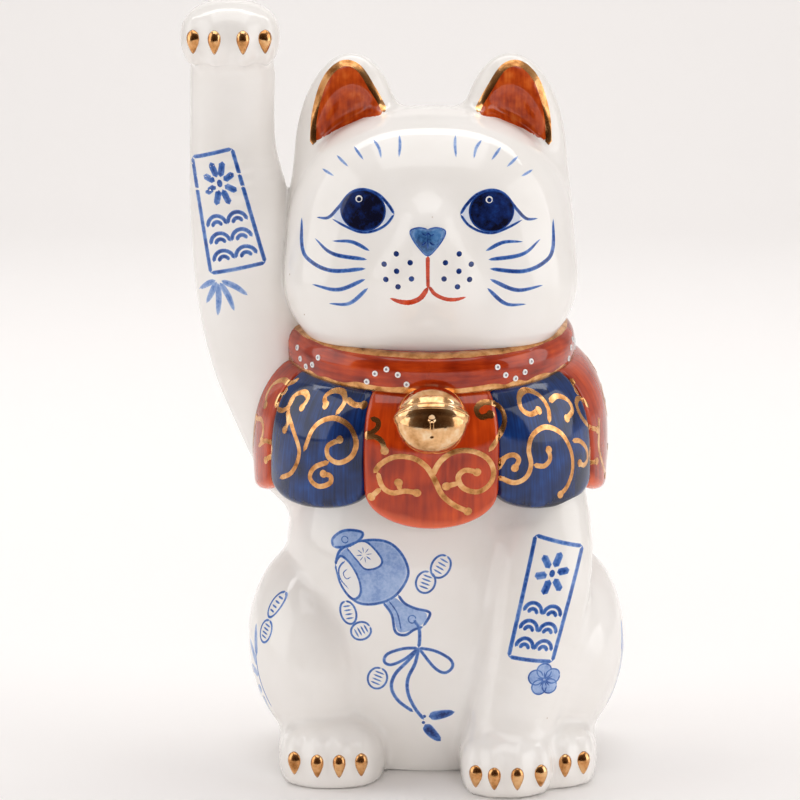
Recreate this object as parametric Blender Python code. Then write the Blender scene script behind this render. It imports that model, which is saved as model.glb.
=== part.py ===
"""Beckoning cat figurine: slip-cast porcelain castings luted together, with sprigged relief.

Metres, +Z up. The cat faces -Y, so its own left side is +X. The origin is on the table, at the
foot of the line through the middle of the neck. Every casting is cut back by its neighbours,
with a slip joint of JOINT between them.
"""

import math

import bmesh
import bpy
from mathutils import Matrix, Vector

MM = 0.001
REACH = 300.0 * MM  # larger than the cat, for cutters that take off a whole side
JOINT = 0.3 * MM  # slip joint between two castings
WALL = 4.0 * MM  # wall left when the mould is drained
FLOOR_WALL = 5.0 * MM  # thicker floor of the torso casting
NECK_CUT = 132.0 * MM  # height where the head casting is cut and set on the torso
VENT_RADIUS = 5.0 * MM  # hole in the floor that lets the air out in the kiln
VENT_Y = 18.0 * MM  # the vent is behind the middle of the base
SHOULDER_HOLE_RADIUS = 4.0 * MM  # hole from the torso into the hollow arm
SHOULDER_HOLE = ((-25, 4, 104), (-60, 4, 118))  # its two ends, in millimetres

# An egg is a rounded block: centre and half sizes in millimetres, squareness 2 for an ellipsoid
# and more for a boxier one, and a turn about X, Y and Z in degrees.
TRUNK = {"centre": (0, 4, 52), "half": (45.5, 42, 66), "square": 2.4}
SHOULDERS = {"centre": (0, -1, 104), "half": (44, 40, 22)}
NECK = {"centre": (0, -2, 118), "half": (36, 35, 30)}
RIGHT_THIGH = {"centre": (-33.5, 1, 34), "half": (24, 38, 32), "turn": (14, 0, -6)}
LEFT_THIGH = {"centre": (37.5, 1, 34), "half": (24, 38, 32), "turn": (14, 0, 6)}
TORSO_EGGS = (TRUNK, SHOULDERS, NECK, RIGHT_THIGH, LEFT_THIGH)

SKULL = {"centre": (0, -8, 163), "half": (44.3, 42, 42), "square": 2.35}
RIGHT_CHEEK = {"centre": (-20, -22, 151), "half": (22, 22, 18)}
LEFT_CHEEK = {"centre": (20, -22, 151), "half": (22, 22, 18)}
MUZZLE = {"centre": (-1.2, -42, 156.5), "half": (15.5, 12.5, 10.5)}
HEAD_EGGS = (SKULL, RIGHT_CHEEK, LEFT_CHEEK, MUZZLE)

EAR_TILT = 3.0  # degrees that each ear leans towards the middle
EAR = {"centre": (25.5, -7, 190), "half": (16.3, 11, 31)}
EAR_HOLLOW = {"centre": (25.2, -21, 193), "half": (11.5, 12, 21)}
EAR_HOLLOW_TILT = 7.0

RAISED_PAW = {"centre": (-60.8, -15, 227.2), "half": (14.9, 16.5, 10.6), "square": 2.3}
LEFT_FOREPAW = {"centre": (23, -40, 7.5), "half": (14.2, 20, 12.5), "square": 2.5}
RIGHT_HIND_FOOT = {"centre": (-30.3, -24, 6.5), "half": (16.6, 24.5, 12.5), "square": 2.6}
LEFT_HIND_FOOT = {"centre": (35, -24, 6.5), "half": (16.6, 24.5, 12.5), "square": 2.6}

# A limb is a list of (x, y, z, radius) in millimetres along its middle line.
ARM = (
    (-36, 4, 96, 19),
    (-43.5, 5, 111, 18.5),
    (-51, 3, 129, 18),
    (-55.8, -1, 150, 17),
    (-58.3, -5, 180, 15),
    (-60.3, -7, 200, 13.2),
    (-60.5, -9, 222, 13),
)
FORELEG = (
    (33, -12, 100, 12),
    (33.5, -27, 72, 16.2),
    (30.5, -34, 46, 15.5),
    (25.5, -38, 22, 13.5),
    (25, -38, 8, 11),
)
TAIL = ((6, 36, 14, 9), (16, 50, 20, 8.5), (22, 52, 32, 7.5), (23, 51, 38, 4.5), (23, 51, 40, 1.5))

COLLAR_CENTRE = (0, -4, 131.5)
COLLAR_RADII = (38.4, 39.4)  # to the middle of the band, across and front to back
COLLAR_SECTION = (6.4, 7.3)  # half thickness and half height of the band
COLLAR_POWER = 0.7  # 1 would be an oval section, and less is boxier
COLLAR_TILT = 7.0  # degrees that the band's front hangs down

BIB_LAPPETS = 8
BIB_TOP = -3.0  # how far the lappets' tops are above the middle of the collar
BIB_NOTCH = 91.5  # height of the notch between two lappets
BIB_DROP = 6.3  # how far each lappet hangs below the notches
BIB_FRONT_DROP = 10.3  # and the one in front, which is longer
BIB_CENTRE_Y = -1.0
BIB_TOP_RADII = (43.5, 43.5)
BIB_BOTTOM_RADII = (53.5, 50.5)
BIB_BELLY = 7.0  # how far the lappets swell out
BIB_CROWN = 1.3  # cushion shape across one lappet
BIB_DEPTH = 13.0  # how far a lappet reaches inwards before the torso is cut from it
BIB_MEAN_RADIUS = 50.0  # used to turn the slip joint into an angle
BIB_BELLY_RISE = 0.6  # 1 would put the fullest part halfway down, and less is higher

BELL_CENTRE = (0, -54.5, 115.0)
BELL_HALF = (11.0, 8.8, 10.4)
BELL_TILT = -34.0  # degrees that the bell's mouth turns to the front
BELL_WAIST_GAP = 0.3
BELL_SLOT = (1.9, 5.4)  # width and length of the slot in the bowl
BELL_EYE_RADIUS = 1.5  # round hole at the slot's top end
BELL_EYE_HEIGHT = -3.0  # of that hole, from the bell's middle
BELL_EYE_DEPTH = 1.6
BELL_SLOT_DEPTH = 2.2

EYE_HALF = (7.5, 3.0, 7.1)
EYE_PLACES = {"right_eye": (-21.0, 176.5), "left_eye": (18.4, 176.5)}
EYE_SUNK = 1.4  # how far an eye's middle lies behind the skull's surface
EYE_LEAN = -8.0  # degrees that an eye looks up
EYE_SPLAY = 0.9  # share of the skull's own turn that an eye takes
NOSE = {"centre": (-1.2, -53.2, 168.8), "half": (4.8, 3.0, 3.6)}

# Each row of claws: its paw, how far each claw is from the paw's middle, and their height there.
# The left hind foot's other two toes are behind the left forepaw.
CLAW_HALF = (1.5, 1.9, 3.7)
CLAW_SUNK = 0.5  # how far a claw's middle lies behind the paw's surface
CLAW_FOOT = 0.5 * MM  # lowest height of a claw
CLAWS = {
    "raised_paw_claw": (RAISED_PAW, (-10.4, -4.0, 4.4, 10.7), -1.5),
    "left_forepaw_claw": (LEFT_FOREPAW, (-9.4, -4.0, 2.8, 9.8), -0.6),
    "right_hind_claw": (RIGHT_HIND_FOOT, (-11.1, -4.2, 2.4, 9.0), 1.2),
    "left_hind_claw": (LEFT_HIND_FOOT, (5.6, 11.3), 1.2),
}

PORCELAIN = ("porcelain", (0.86, 0.84, 0.82), 0.08, 0.0)
RED_ENAMEL = ("red_enamel", (0.47, 0.045, 0.012), 0.12, 0.0)
BLUE_ENAMEL = ("blue_enamel", (0.010, 0.040, 0.180), 0.12, 0.0)
GILT = ("gilt", (0.80, 0.48, 0.20), 0.18, 1.0)
NOSE_BLUE = ("nose_blue", (0.07, 0.18, 0.38), 0.15, 0.0)


def clear_scene():
    for obj in list(bpy.data.objects):
        bpy.data.objects.remove(obj, do_unlink=True)


def material(finish):
    """The Principled material for a (name, colour, roughness, metallic) finish."""
    name, colour, roughness, metallic = finish
    made = bpy.data.materials.get(name)
    if made is None:
        made = bpy.data.materials.new(name)
        made.use_nodes = True
        shader = made.node_tree.nodes["Principled BSDF"]
        shader.inputs["Base Color"].default_value = (*colour, 1)
        shader.inputs["Roughness"].default_value = roughness
        shader.inputs["Metallic"].default_value = metallic
    return made


def new_object(name, bm, finish=None):
    """An object from a bmesh with outward faces. Without a finish it is a cutter."""
    bmesh.ops.recalc_face_normals(bm, faces=bm.faces)
    mesh = bpy.data.meshes.new(name)
    bm.to_mesh(mesh)
    bm.free()
    obj = bpy.data.objects.new(name, mesh)
    bpy.context.scene.collection.objects.link(obj)
    if finish:
        mesh.materials.append(material(finish))
        mesh.shade_smooth()
        mesh.set_sharp_from_angle(angle=math.radians(50))
    else:
        obj.hide_render = True
        obj.display_type = "WIRE"
    return obj


def turn_matrix(turn):
    x, y, z = (math.radians(a) for a in turn)
    return Matrix.Rotation(z, 3, "Z") @ Matrix.Rotation(y, 3, "Y") @ Matrix.Rotation(x, 3, "X")


def egg(name, shape, finish=None, grow=0.0, segments=18, rings=10):
    """A rounded block, grow metres larger than its half sizes on every side."""
    square = shape.get("square", 2.0)
    half = [h * MM + grow for h in shape["half"]]
    turn = turn_matrix(shape.get("turn", (0, 0, 0)))
    centre = Vector(shape["centre"]) * MM
    bm = bmesh.new()
    bmesh.ops.create_uvsphere(bm, u_segments=segments, v_segments=rings, radius=1)
    for vert in bm.verts:
        reach = sum(abs(c) ** square for c in vert.co) ** (-1 / square)
        vert.co = turn @ Vector([c * reach * h for c, h in zip(vert.co, half)]) + centre
    return new_object(name, bm, finish)


def smooth_path(points, steps):
    """Points on a Catmull-Rom curve through the given ones; a point may carry more numbers."""
    first = [2 * a - b for a, b in zip(points[0], points[1])]
    last = [2 * a - b for a, b in zip(points[-1], points[-2])]
    ends = [first, *points, last]

    def blend(a, b, c, d, t):
        slope = (c - a) * t
        bend = (2 * a - 5 * b + 4 * c - d) * t**2
        twist = (3 * b - a - 3 * c + d) * t**3
        return (2 * b + slope + bend + twist) / 2

    path = []
    for i in range(1, len(ends) - 2):
        four = ends[i - 1 : i + 3]
        for step in range(steps):
            path.append([blend(*values, step / steps) for values in zip(*four)])
    path.append(list(points[-1]))
    return path


def limb(name, points, finish=None, grow=0.0, steps=3):
    """A tapered round tube through the points, with flat ends."""
    curve = bpy.data.curves.new(name, "CURVE")
    curve.dimensions = "3D"
    curve.bevel_depth = 1.0
    curve.bevel_resolution = 3
    curve.use_fill_caps = True
    path = smooth_path(points, steps)
    spline = curve.splines.new("POLY")
    spline.points.add(len(path) - 1)
    for point, (x, y, z, radius) in zip(spline.points, path):
        point.co = (x * MM, y * MM, z * MM, 1)
        point.radius = radius * MM + grow
    guide = bpy.data.objects.new(name, curve)
    bpy.context.scene.collection.objects.link(guide)
    graph = bpy.context.evaluated_depsgraph_get()
    bm = bmesh.new()
    bm.from_mesh(bpy.data.meshes.new_from_object(guide.evaluated_get(graph)))
    bmesh.ops.remove_doubles(bm, verts=bm.verts, dist=1e-6)
    bpy.data.objects.remove(guide, do_unlink=True)
    return new_object(name, bm, finish)


def block(name, low, high):
    """A box cutter between two corners, in metres."""
    bm = bmesh.new()
    bmesh.ops.create_cube(bm, size=1)
    low, high = Vector(low), Vector(high)
    for vert in bm.verts:
        vert.co = Vector([a + (c + 0.5) * (b - a) for a, b, c in zip(low, high, vert.co)])
    return new_object(name, bm)


def rod(name, start, end, radius):
    """A round cutter from start to end, in metres."""
    start, end = Vector(start), Vector(end)
    along = end - start
    bm = bmesh.new()
    bmesh.ops.create_cone(
        bm, cap_ends=True, segments=20, radius1=radius, radius2=radius, depth=along.length
    )
    place = Matrix.Translation((start + end) / 2) @ along.to_track_quat("Z", "Y").to_matrix().to_4x4()
    bm.transform(place)
    return new_object(name, bm)


def apply_boolean(obj, tool, operation):
    change = obj.modifiers.new(operation, "BOOLEAN")
    change.operation = operation
    change.object = tool
    graph = bpy.context.evaluated_depsgraph_get()
    mesh = bpy.data.meshes.new_from_object(obj.evaluated_get(graph))
    obj.modifiers.clear()
    obj.data = mesh


def cut(obj, *tools):
    """Cuts each tool from obj and removes it."""
    for tool in tools:
        apply_boolean(obj, tool, "DIFFERENCE")
        bpy.data.objects.remove(tool, do_unlink=True)
    keep_largest(obj)
    return obj


def join(obj, *others):
    """Welds the others onto obj and removes them."""
    for other in others:
        apply_boolean(obj, other, "UNION")
        bpy.data.objects.remove(other, do_unlink=True)
    return obj


def keep_largest(obj):
    """Drops the crumbs that a cut leaves beside the main body."""
    bm = bmesh.new()
    bm.from_mesh(obj.data)
    bodies = []
    left = set(bm.verts)
    while left:
        body = set()
        reached = [left.pop()]
        while reached:
            vert = reached.pop()
            body.add(vert)
            near = {edge.other_vert(vert) for edge in vert.link_edges} & left
            left -= near
            reached.extend(near)
        bodies.append(body)
    bodies.sort(key=spread)
    crumbs = [vert for body in bodies[:-1] for vert in body]
    if crumbs:
        bmesh.ops.delete(bm, geom=crumbs, context="VERTS")
        bm.to_mesh(obj.data)
    bm.free()


def spread(verts):
    """The diagonal of the box round some vertices."""
    low = [min(vert.co[k] for vert in verts) for k in range(3)]
    high = [max(vert.co[k] for vert in verts) for k in range(3)]
    return math.dist(low, high)


def union_of(name, eggs, finish=None, grow=0.0, segments=24, rings=14):
    """One body made of several overlapping eggs."""
    bodies = [egg(f"{name}_{i}", shape, None, grow, segments, rings) for i, shape in enumerate(eggs)]
    first, *others = bodies
    body = join(first, *others)
    body.name = name
    if finish:
        body.hide_render = False
        body.display_type = "TEXTURED"
        body.data.materials.append(material(finish))
        body.data.shade_smooth()
    return body


def below(height):
    """A cutter for everything under a height, in metres."""
    return block("below", (-REACH, -REACH, height - REACH), (REACH, REACH, height))


def above(height):
    """A cutter for everything over a height, in metres."""
    return block("above", (-REACH, -REACH, height), (REACH, REACH, height + REACH))


def grown_torso():
    return union_of("torso_tool", TORSO_EGGS, grow=JOINT)


def grown_head():
    return union_of("head_tool", HEAD_EGGS, grow=JOINT)


def make_torso():
    """The main casting: trunk, shoulders, neck and both thighs, hollow, open at the neck."""
    torso = union_of("torso", TORSO_EGGS, PORCELAIN)
    hollow = union_of("torso_hollow", TORSO_EGGS, grow=-WALL, segments=14, rings=8)
    cut(hollow, below(FLOOR_WALL))
    vent = rod("vent", (0, VENT_Y, -FLOOR_WALL), (0, VENT_Y, 2 * FLOOR_WALL), VENT_RADIUS)
    inner_end, outer_end = (Vector(end) * MM for end in SHOULDER_HOLE)
    shoulder_hole = rod("shoulder_hole", inner_end, outer_end, SHOULDER_HOLE_RADIUS)
    join(hollow, vent, shoulder_hole)
    return cut(torso, below(0), above(NECK_CUT - JOINT / 2), hollow)


def make_head():
    """The head casting with cheeks and muzzle, hollow, open where it sits on the neck."""
    head = union_of("head", HEAD_EGGS, PORCELAIN)
    hollow = egg("head_hollow", SKULL, grow=-WALL, segments=14, rings=8)
    return cut(head, below(NECK_CUT + JOINT / 2), hollow)


def make_ear(name, side):
    """An ear pressed in a small mould: a pointed egg with a hollow front."""

    def sided(shape, tilt):
        x, y, z = shape["centre"]
        return {**shape, "centre": (side * x, y, z), "turn": (0, -side * tilt, 0)}

    ear = egg(name, sided(EAR, EAR_TILT), PORCELAIN)
    return cut(ear, egg("hollow", sided(EAR_HOLLOW, EAR_HOLLOW_TILT)), grown_head())


def make_arm():
    """The hollow raised arm, luted to the shoulder and the side of the head."""
    arm = limb("raised_arm", ARM, PORCELAIN)
    hollow = limb("arm_hollow", ARM[:-1], grow=-WALL)
    paw_tool = egg("paw_tool", RAISED_PAW, grow=JOINT)
    return cut(arm, grown_torso(), grown_head(), paw_tool, hollow)


def make_legs_and_feet():
    """The straight left foreleg, its paw and the two hind feet, all solid and flat underneath."""
    forepaw_tool = egg("forepaw_tool", LEFT_FOREPAW, grow=JOINT)
    cut(limb("left_foreleg", FORELEG, PORCELAIN), grown_torso(), forepaw_tool, below(0))
    cut(egg("left_forepaw", LEFT_FOREPAW, PORCELAIN), grown_torso(), below(0))
    cut(egg("right_hind_foot", RIGHT_HIND_FOOT, PORCELAIN), grown_torso(), below(0))
    left_foot = egg("left_hind_foot", LEFT_HIND_FOOT, PORCELAIN)
    beside = egg("beside", LEFT_FOREPAW, grow=JOINT)
    leg = limb("leg_tool", FORELEG, grow=JOINT)
    cut(left_foot, grown_torso(), beside, leg, below(0))


def collar_band():
    """The mesh of the whole band round the neck."""

    def squared(value):
        return math.copysign(abs(value) ** COLLAR_POWER, value)

    bm = bmesh.new()
    around, across = 32, 8
    tilt = Matrix.Rotation(math.radians(COLLAR_TILT), 3, "X")
    rings = []
    for i in range(around):
        a = 2 * math.pi * i / around
        ring = []
        for j in range(across):
            b = 2 * math.pi * j / across
            out = COLLAR_SECTION[0] * squared(math.cos(b))
            up = COLLAR_SECTION[1] * squared(math.sin(b))
            wide, deep = (radius + out for radius in COLLAR_RADII)
            point = tilt @ Vector((wide * math.sin(a), -deep * math.cos(a), up))
            ring.append(bm.verts.new((point + Vector(COLLAR_CENTRE)) * MM))
        rings.append(ring)
    for i in range(around):
        for j in range(across):
            a, b = rings[i], rings[(i + 1) % around]
            bm.faces.new((a[j], b[j], b[(j + 1) % across], a[(j + 1) % across]))
    return bm


def bib_point(angle, down, across, inset):
    """A point of a lappet: down runs 0 to 1 from top to hem, across -1 to 1 from side to side."""
    in_front = abs(angle) < math.pi / BIB_LAPPETS
    hem = BIB_NOTCH - (BIB_FRONT_DROP if in_front else BIB_DROP) * math.sqrt(max(0.0, 1 - across**2))
    collar_drop = COLLAR_RADII[1] * math.sin(math.radians(COLLAR_TILT))
    top = COLLAR_CENTRE[2] + BIB_TOP - collar_drop * math.cos(angle)
    z = top + (hem - top) * down
    swell = BIB_BELLY * math.sin(math.pi * down**BIB_BELLY_RISE) + BIB_CROWN * (1 - across**2) * down
    radii = [a + (b - a) * down + swell - inset for a, b in zip(BIB_TOP_RADII, BIB_BOTTOM_RADII)]
    return Vector((radii[0] * math.sin(angle), BIB_CENTRE_Y - radii[1] * math.cos(angle), z)) * MM


def lappet(name, middle, finish, grow=0.0):
    """One cushion-shaped tab of the bib, centred on an angle from the front, in radians."""
    bm = bmesh.new()
    wide, tall = 6, 5
    half_angle = math.pi / BIB_LAPPETS - (JOINT / 2 - grow) / (BIB_MEAN_RADIUS * MM)
    layers = []
    for inset in (-grow / MM, BIB_DEPTH):
        rows = []
        for j in range(tall + 1):
            across = [-1 + 2 * i / wide for i in range(wide + 1)]
            row = [bib_point(middle + a * half_angle, j / tall, a, inset) for a in across]
            rows.append([bm.verts.new(point) for point in row])
        layers.append(rows)
    for rows in layers:
        for j in range(tall):
            for i in range(wide):
                bm.faces.new((rows[j][i], rows[j][i + 1], rows[j + 1][i + 1], rows[j + 1][i]))
    outer, inner = layers
    rim = [(0, i) for i in range(wide)] + [(j, wide) for j in range(tall)]
    rim += [(tall, i) for i in range(wide, 0, -1)] + [(j, 0) for j in range(tall, 0, -1)]
    for k, (j, i) in enumerate(rim):
        j2, i2 = rim[(k + 1) % len(rim)]
        bm.faces.new((outer[j][i], outer[j2][i2], inner[j2][i2], inner[j][i]))
    return new_object(name, bm, finish)


LAPPET_NAMES = (
    "bib_front_red",
    "bib_front_left_blue",
    "bib_left_red",
    "bib_back_left_blue",
    "bib_back_red",
    "bib_back_right_blue",
    "bib_right_red",
    "bib_front_right_blue",
)


def make_bib():
    """Eight lappets, red and blue in turn, cut to lie on the torso and clear of the limbs."""
    for i, name in enumerate(LAPPET_NAMES):
        finish = RED_ENAMEL if i % 2 == 0 else BLUE_ENAMEL
        tab = lappet(name, 2 * math.pi * i / BIB_LAPPETS, finish)
        cut(
            tab,
            grown_torso(),
            limb("arm_tool", ARM, grow=JOINT),
            limb("leg_tool", FORELEG, grow=JOINT),
            collar_tool(),
            grown_head(),
        )


def collar_tool():
    """The collar's own shape, as a cutter that leaves the slip joint round it."""
    tool = new_object("collar_tool", collar_band())
    swell = tool.modifiers.new("grow", "DISPLACE")
    swell.strength = JOINT
    swell.mid_level = 0
    graph = bpy.context.evaluated_depsgraph_get()
    tool.data = bpy.data.meshes.new_from_object(tool.evaluated_get(graph))
    tool.modifiers.clear()
    return tool


def make_bell():
    """A round bell in two halves: the crown, and the bowl with its slot."""
    ball = {"centre": BELL_CENTRE, "half": BELL_HALF, "turn": (BELL_TILT, 0, 0)}
    centre = Vector(BELL_CENTRE) * MM
    tilt = Matrix.Rotation(math.radians(BELL_TILT), 3, "X")

    def half_space(sign):
        reach = 30 * MM
        side = block("half", (-reach, -reach, 0), (reach, reach, reach))
        shift = sign * BELL_WAIST_GAP * MM / 2
        flip = Matrix.Identity(3) if sign > 0 else Matrix.Rotation(math.pi, 3, "X")
        place = Matrix.Translation(centre + tilt @ Vector((0, 0, -shift)))
        side.data.transform(place @ (tilt @ flip).to_4x4())
        return side

    def seat():
        front = lappet("bib_tool", 0, None, grow=JOINT)
        return front, collar_tool(), grown_torso()

    def spot(x, y, z):
        return centre + tilt @ (Vector((x, y, z)) * MM)

    cut(egg("bell_crown", ball, GILT), half_space(-1), *seat())
    bowl = cut(egg("bell_bowl", ball, GILT), half_space(1), *seat())
    face = -BELL_HALF[1]
    clear = face - 3.0
    hole_ends = (spot(0, clear, BELL_EYE_HEIGHT), spot(0, face + BELL_EYE_DEPTH, BELL_EYE_HEIGHT))
    eye = rod("eye", *hole_ends, BELL_EYE_RADIUS * MM)
    width, length = BELL_SLOT
    low = Vector((-width / 2, clear, BELL_EYE_HEIGHT - length)) * MM
    high = Vector((width / 2, face + BELL_SLOT_DEPTH, BELL_EYE_HEIGHT)) * MM
    slot = block("slot", low, high)
    slot.data.transform(Matrix.Translation(centre) @ tilt.to_4x4())
    cut(bowl, eye, slot)


def surface_y(shape, x, z):
    """The y of an unturned egg's front surface at a given x and z, in millimetres."""
    square = shape.get("square", 2.0)
    (cx, cy, cz), (hx, hy, hz) = shape["centre"], shape["half"]
    left = 1 - abs((x - cx) / hx) ** square - abs((z - cz) / hz) ** square
    return cy - hy * max(left, 0.0) ** (1 / square)


def make_face():
    """The two domed eyes and the nose, sprigged onto the head."""
    for name, (x, z) in EYE_PLACES.items():
        y = surface_y(SKULL, x, z)
        splay = EYE_SPLAY * math.degrees(math.atan2(x, SKULL["centre"][1] - y))
        shape = {"centre": (x, y + EYE_SUNK, z), "half": EYE_HALF, "turn": (EYE_LEAN, 0, splay)}
        cut(egg(name, shape, BLUE_ENAMEL), grown_head())
    cut(egg("nose", NOSE, NOSE_BLUE, segments=16, rings=10), grown_head())


def make_claws():
    """Four gilt claws on each paw, standing a little proud of the toes."""
    for base, (paw, offsets, lift) in CLAWS.items():
        for i, offset in enumerate(offsets, 1):
            x = paw["centre"][0] + offset
            z = paw["centre"][2] + lift
            y = surface_y(paw, x, z)
            shape = {"centre": (x, y + CLAW_SUNK, z), "half": CLAW_HALF}
            claw = egg(f"{base}_{i}", shape, GILT, segments=8, rings=6)
            cut(claw, egg("paw_tool", paw, grow=JOINT), below(CLAW_FOOT))


def make_collar():
    """The band round the neck, cut to sit against the head, the neck and the arm."""
    collar = new_object("collar", collar_band(), RED_ENAMEL)
    cut(collar, grown_torso(), grown_head(), limb("arm_tool", ARM, grow=JOINT))


def main():
    clear_scene()
    make_torso()
    make_head()
    make_ear("right_ear", -1)
    make_ear("left_ear", 1)
    make_arm()
    egg("raised_paw", RAISED_PAW, PORCELAIN)
    make_legs_and_feet()
    cut(limb("tail", TAIL, PORCELAIN), grown_torso())
    make_collar()
    make_bib()
    make_bell()
    make_face()
    make_claws()


main()
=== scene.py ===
"""Beckoning cat figurine: slip-cast porcelain, painted under and over a clear glaze, and gilded.

Metres, +Z up, the cat faces -Y and raises its right paw, at -X. The castings' surfaces are worked
out in millimetres as distance fields, so that the clay runs smoothly from one casting into the
next, and each painted mark is then laid on that surface.
"""

import math

import bpy
import numpy as np
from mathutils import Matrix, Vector


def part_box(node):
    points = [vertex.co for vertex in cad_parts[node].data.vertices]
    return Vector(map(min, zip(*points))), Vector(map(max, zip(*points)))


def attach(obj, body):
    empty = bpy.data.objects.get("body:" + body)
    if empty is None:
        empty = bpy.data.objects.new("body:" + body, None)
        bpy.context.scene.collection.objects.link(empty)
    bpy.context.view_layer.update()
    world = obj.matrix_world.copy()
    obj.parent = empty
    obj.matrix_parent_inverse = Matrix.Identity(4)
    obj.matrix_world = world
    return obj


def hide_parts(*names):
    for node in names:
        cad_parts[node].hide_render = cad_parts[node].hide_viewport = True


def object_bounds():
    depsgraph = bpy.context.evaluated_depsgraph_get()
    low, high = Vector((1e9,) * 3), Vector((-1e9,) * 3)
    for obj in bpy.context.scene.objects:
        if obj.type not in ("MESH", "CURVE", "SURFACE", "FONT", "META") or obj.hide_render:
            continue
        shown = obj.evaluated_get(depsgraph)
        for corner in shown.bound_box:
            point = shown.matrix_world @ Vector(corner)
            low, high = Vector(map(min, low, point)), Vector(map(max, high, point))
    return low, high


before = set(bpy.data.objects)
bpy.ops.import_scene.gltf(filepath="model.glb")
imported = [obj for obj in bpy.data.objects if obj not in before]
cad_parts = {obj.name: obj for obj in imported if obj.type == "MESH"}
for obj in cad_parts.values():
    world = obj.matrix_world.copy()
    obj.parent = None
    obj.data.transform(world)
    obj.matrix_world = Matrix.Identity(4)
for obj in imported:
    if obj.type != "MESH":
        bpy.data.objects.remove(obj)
cad_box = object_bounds()

# ----------------------------------------
# Torso casting
# The trunk, shoulders, neck and both thighs come out of one plaster mould as a hollow shell of
# porcelain, about 3 mm thick. The others are luted onto it with slip, which leaves soft fillets.
# ----------------------------------------
MM = 0.001


def rotation(x, y, z):
    """A 3 by 3 turn about X, then Y, then Z, in degrees."""
    cx, cy, cz = (math.cos(math.radians(a)) for a in (x, y, z))
    sx, sy, sz = (math.sin(math.radians(a)) for a in (x, y, z))
    about_x = np.array([[1, 0, 0], [0, cx, -sx], [0, sx, cx]])
    about_y = np.array([[cy, 0, sy], [0, 1, 0], [-sy, 0, cy]])
    about_z = np.array([[cz, -sz, 0], [sz, cz, 0], [0, 0, 1]])
    return about_z @ about_y @ about_x


def egg(p, centre, half, square=2.0, turn=None):
    """About the distance to a rounded block: square is 2 for an ellipsoid, more for a boxier one."""
    q = p - np.array(centre)
    if turn:
        q = q @ rotation(*turn)
    share = np.abs(q / np.array(half)) + 1e-6
    total = (share**square).sum(-1)
    reach = total ** (1 / square)
    slope = share ** (square - 1) / np.array(half)
    steep = np.sqrt((slope**2).sum(-1)) * total ** (1 / square - 1)
    return (reach - 1) / steep


def blend(a, b, fillet):
    """Two shapes luted together, with a fillet of about that many millimetres."""
    near = np.maximum(fillet - np.abs(a - b), 0) / fillet
    return np.minimum(a, b) - near * near * fillet / 4


def carve(a, b, fillet):
    """The second shape scooped out of the first, with a soft edge."""
    return -blend(-a, b, fillet)


def torso(p):
    d = egg(p, (0, 4, 52), (45.5, 42, 66), 2.4)
    d = blend(d, egg(p, (0, -1, 104), (44, 40, 22)), 10)
    d = blend(d, egg(p, (0, -2, 118), (37, 36, 24)), 10)
    d = blend(d, egg(p, (-33.8, -0.5, 35.5), (22.7, 39, 31.5), turn=(14, -10, -6)), 3)
    return blend(d, egg(p, (37.8, -0.5, 35.5), (22.7, 39, 31.5), turn=(14, 10, 6)), 3)


castings = {"torso": (torso, 0)}  # each with its fillet against the clay before it

# ----------------------------------------
# Hind feet and left forepaw
# Pressed solid from the same clay and luted on level with the base. Four toes are rounded out
# with a wet brush, with a shallow valley between each two.
# ----------------------------------------
TOE_HALF = (3.7, 7.0, 7.4)
TOE_FILLET = 2.2
boxes = {node: np.array(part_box(node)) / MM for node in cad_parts}  # in millimetres


def centre_of(node):
    return boxes[node].mean(0)


def paw(p, middle, half, square, toes, reach):
    """A rounded paw with its toes. Each toe is (x, z) from the paw's middle."""
    d = egg(p, middle, half, square)
    for x, z in toes:
        left = 1 - abs(x / half[0]) ** square - abs(z / half[2]) ** square
        front = middle[1] - half[1] * max(left, 0) ** (1 / square)
        d = blend(d, egg(p, (middle[0] + x, front + reach, middle[2] + z), TOE_HALF), TOE_FILLET)
    return d


FOOT_MIDDLE_Z = 6.5
FOOT_HALF = (16.6, 24.5, 12.5)
FOREPAW_HALF = (14.2, 20, 12.5)
TOE_SINK = 5.9  # how far a toe's middle is behind the paw's front


def toes_of(base, middle, lift):
    """Where the toes are: one behind each claw of that row."""
    claws = sorted(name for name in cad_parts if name.startswith(base))
    return [(centre_of(name)[0] - middle[0], lift) for name in claws]


right_foot_middle = (centre_of("right_hind_foot")[0], -24, FOOT_MIDDLE_Z)
left_foot_middle = (35, -24, FOOT_MIDDLE_Z)
forepaw_middle = (centre_of("left_forepaw")[0], -40, 7.5)
right_foot_toes = toes_of("right_hind_claw", right_foot_middle, 1.5)
left_foot_toes = toes_of("left_hind_claw", left_foot_middle, 1.5)
forepaw_toes = toes_of("left_forepaw_claw", forepaw_middle, 0.5)


def right_hind_foot(p):
    return paw(p, right_foot_middle, FOOT_HALF, 2.6, right_foot_toes, TOE_SINK)


def left_hind_foot(p):
    return paw(p, left_foot_middle, FOOT_HALF, 2.6, left_foot_toes, TOE_SINK)


def left_forepaw(p):
    return paw(p, forepaw_middle, FOREPAW_HALF, 2.5, forepaw_toes, TOE_SINK)


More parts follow.
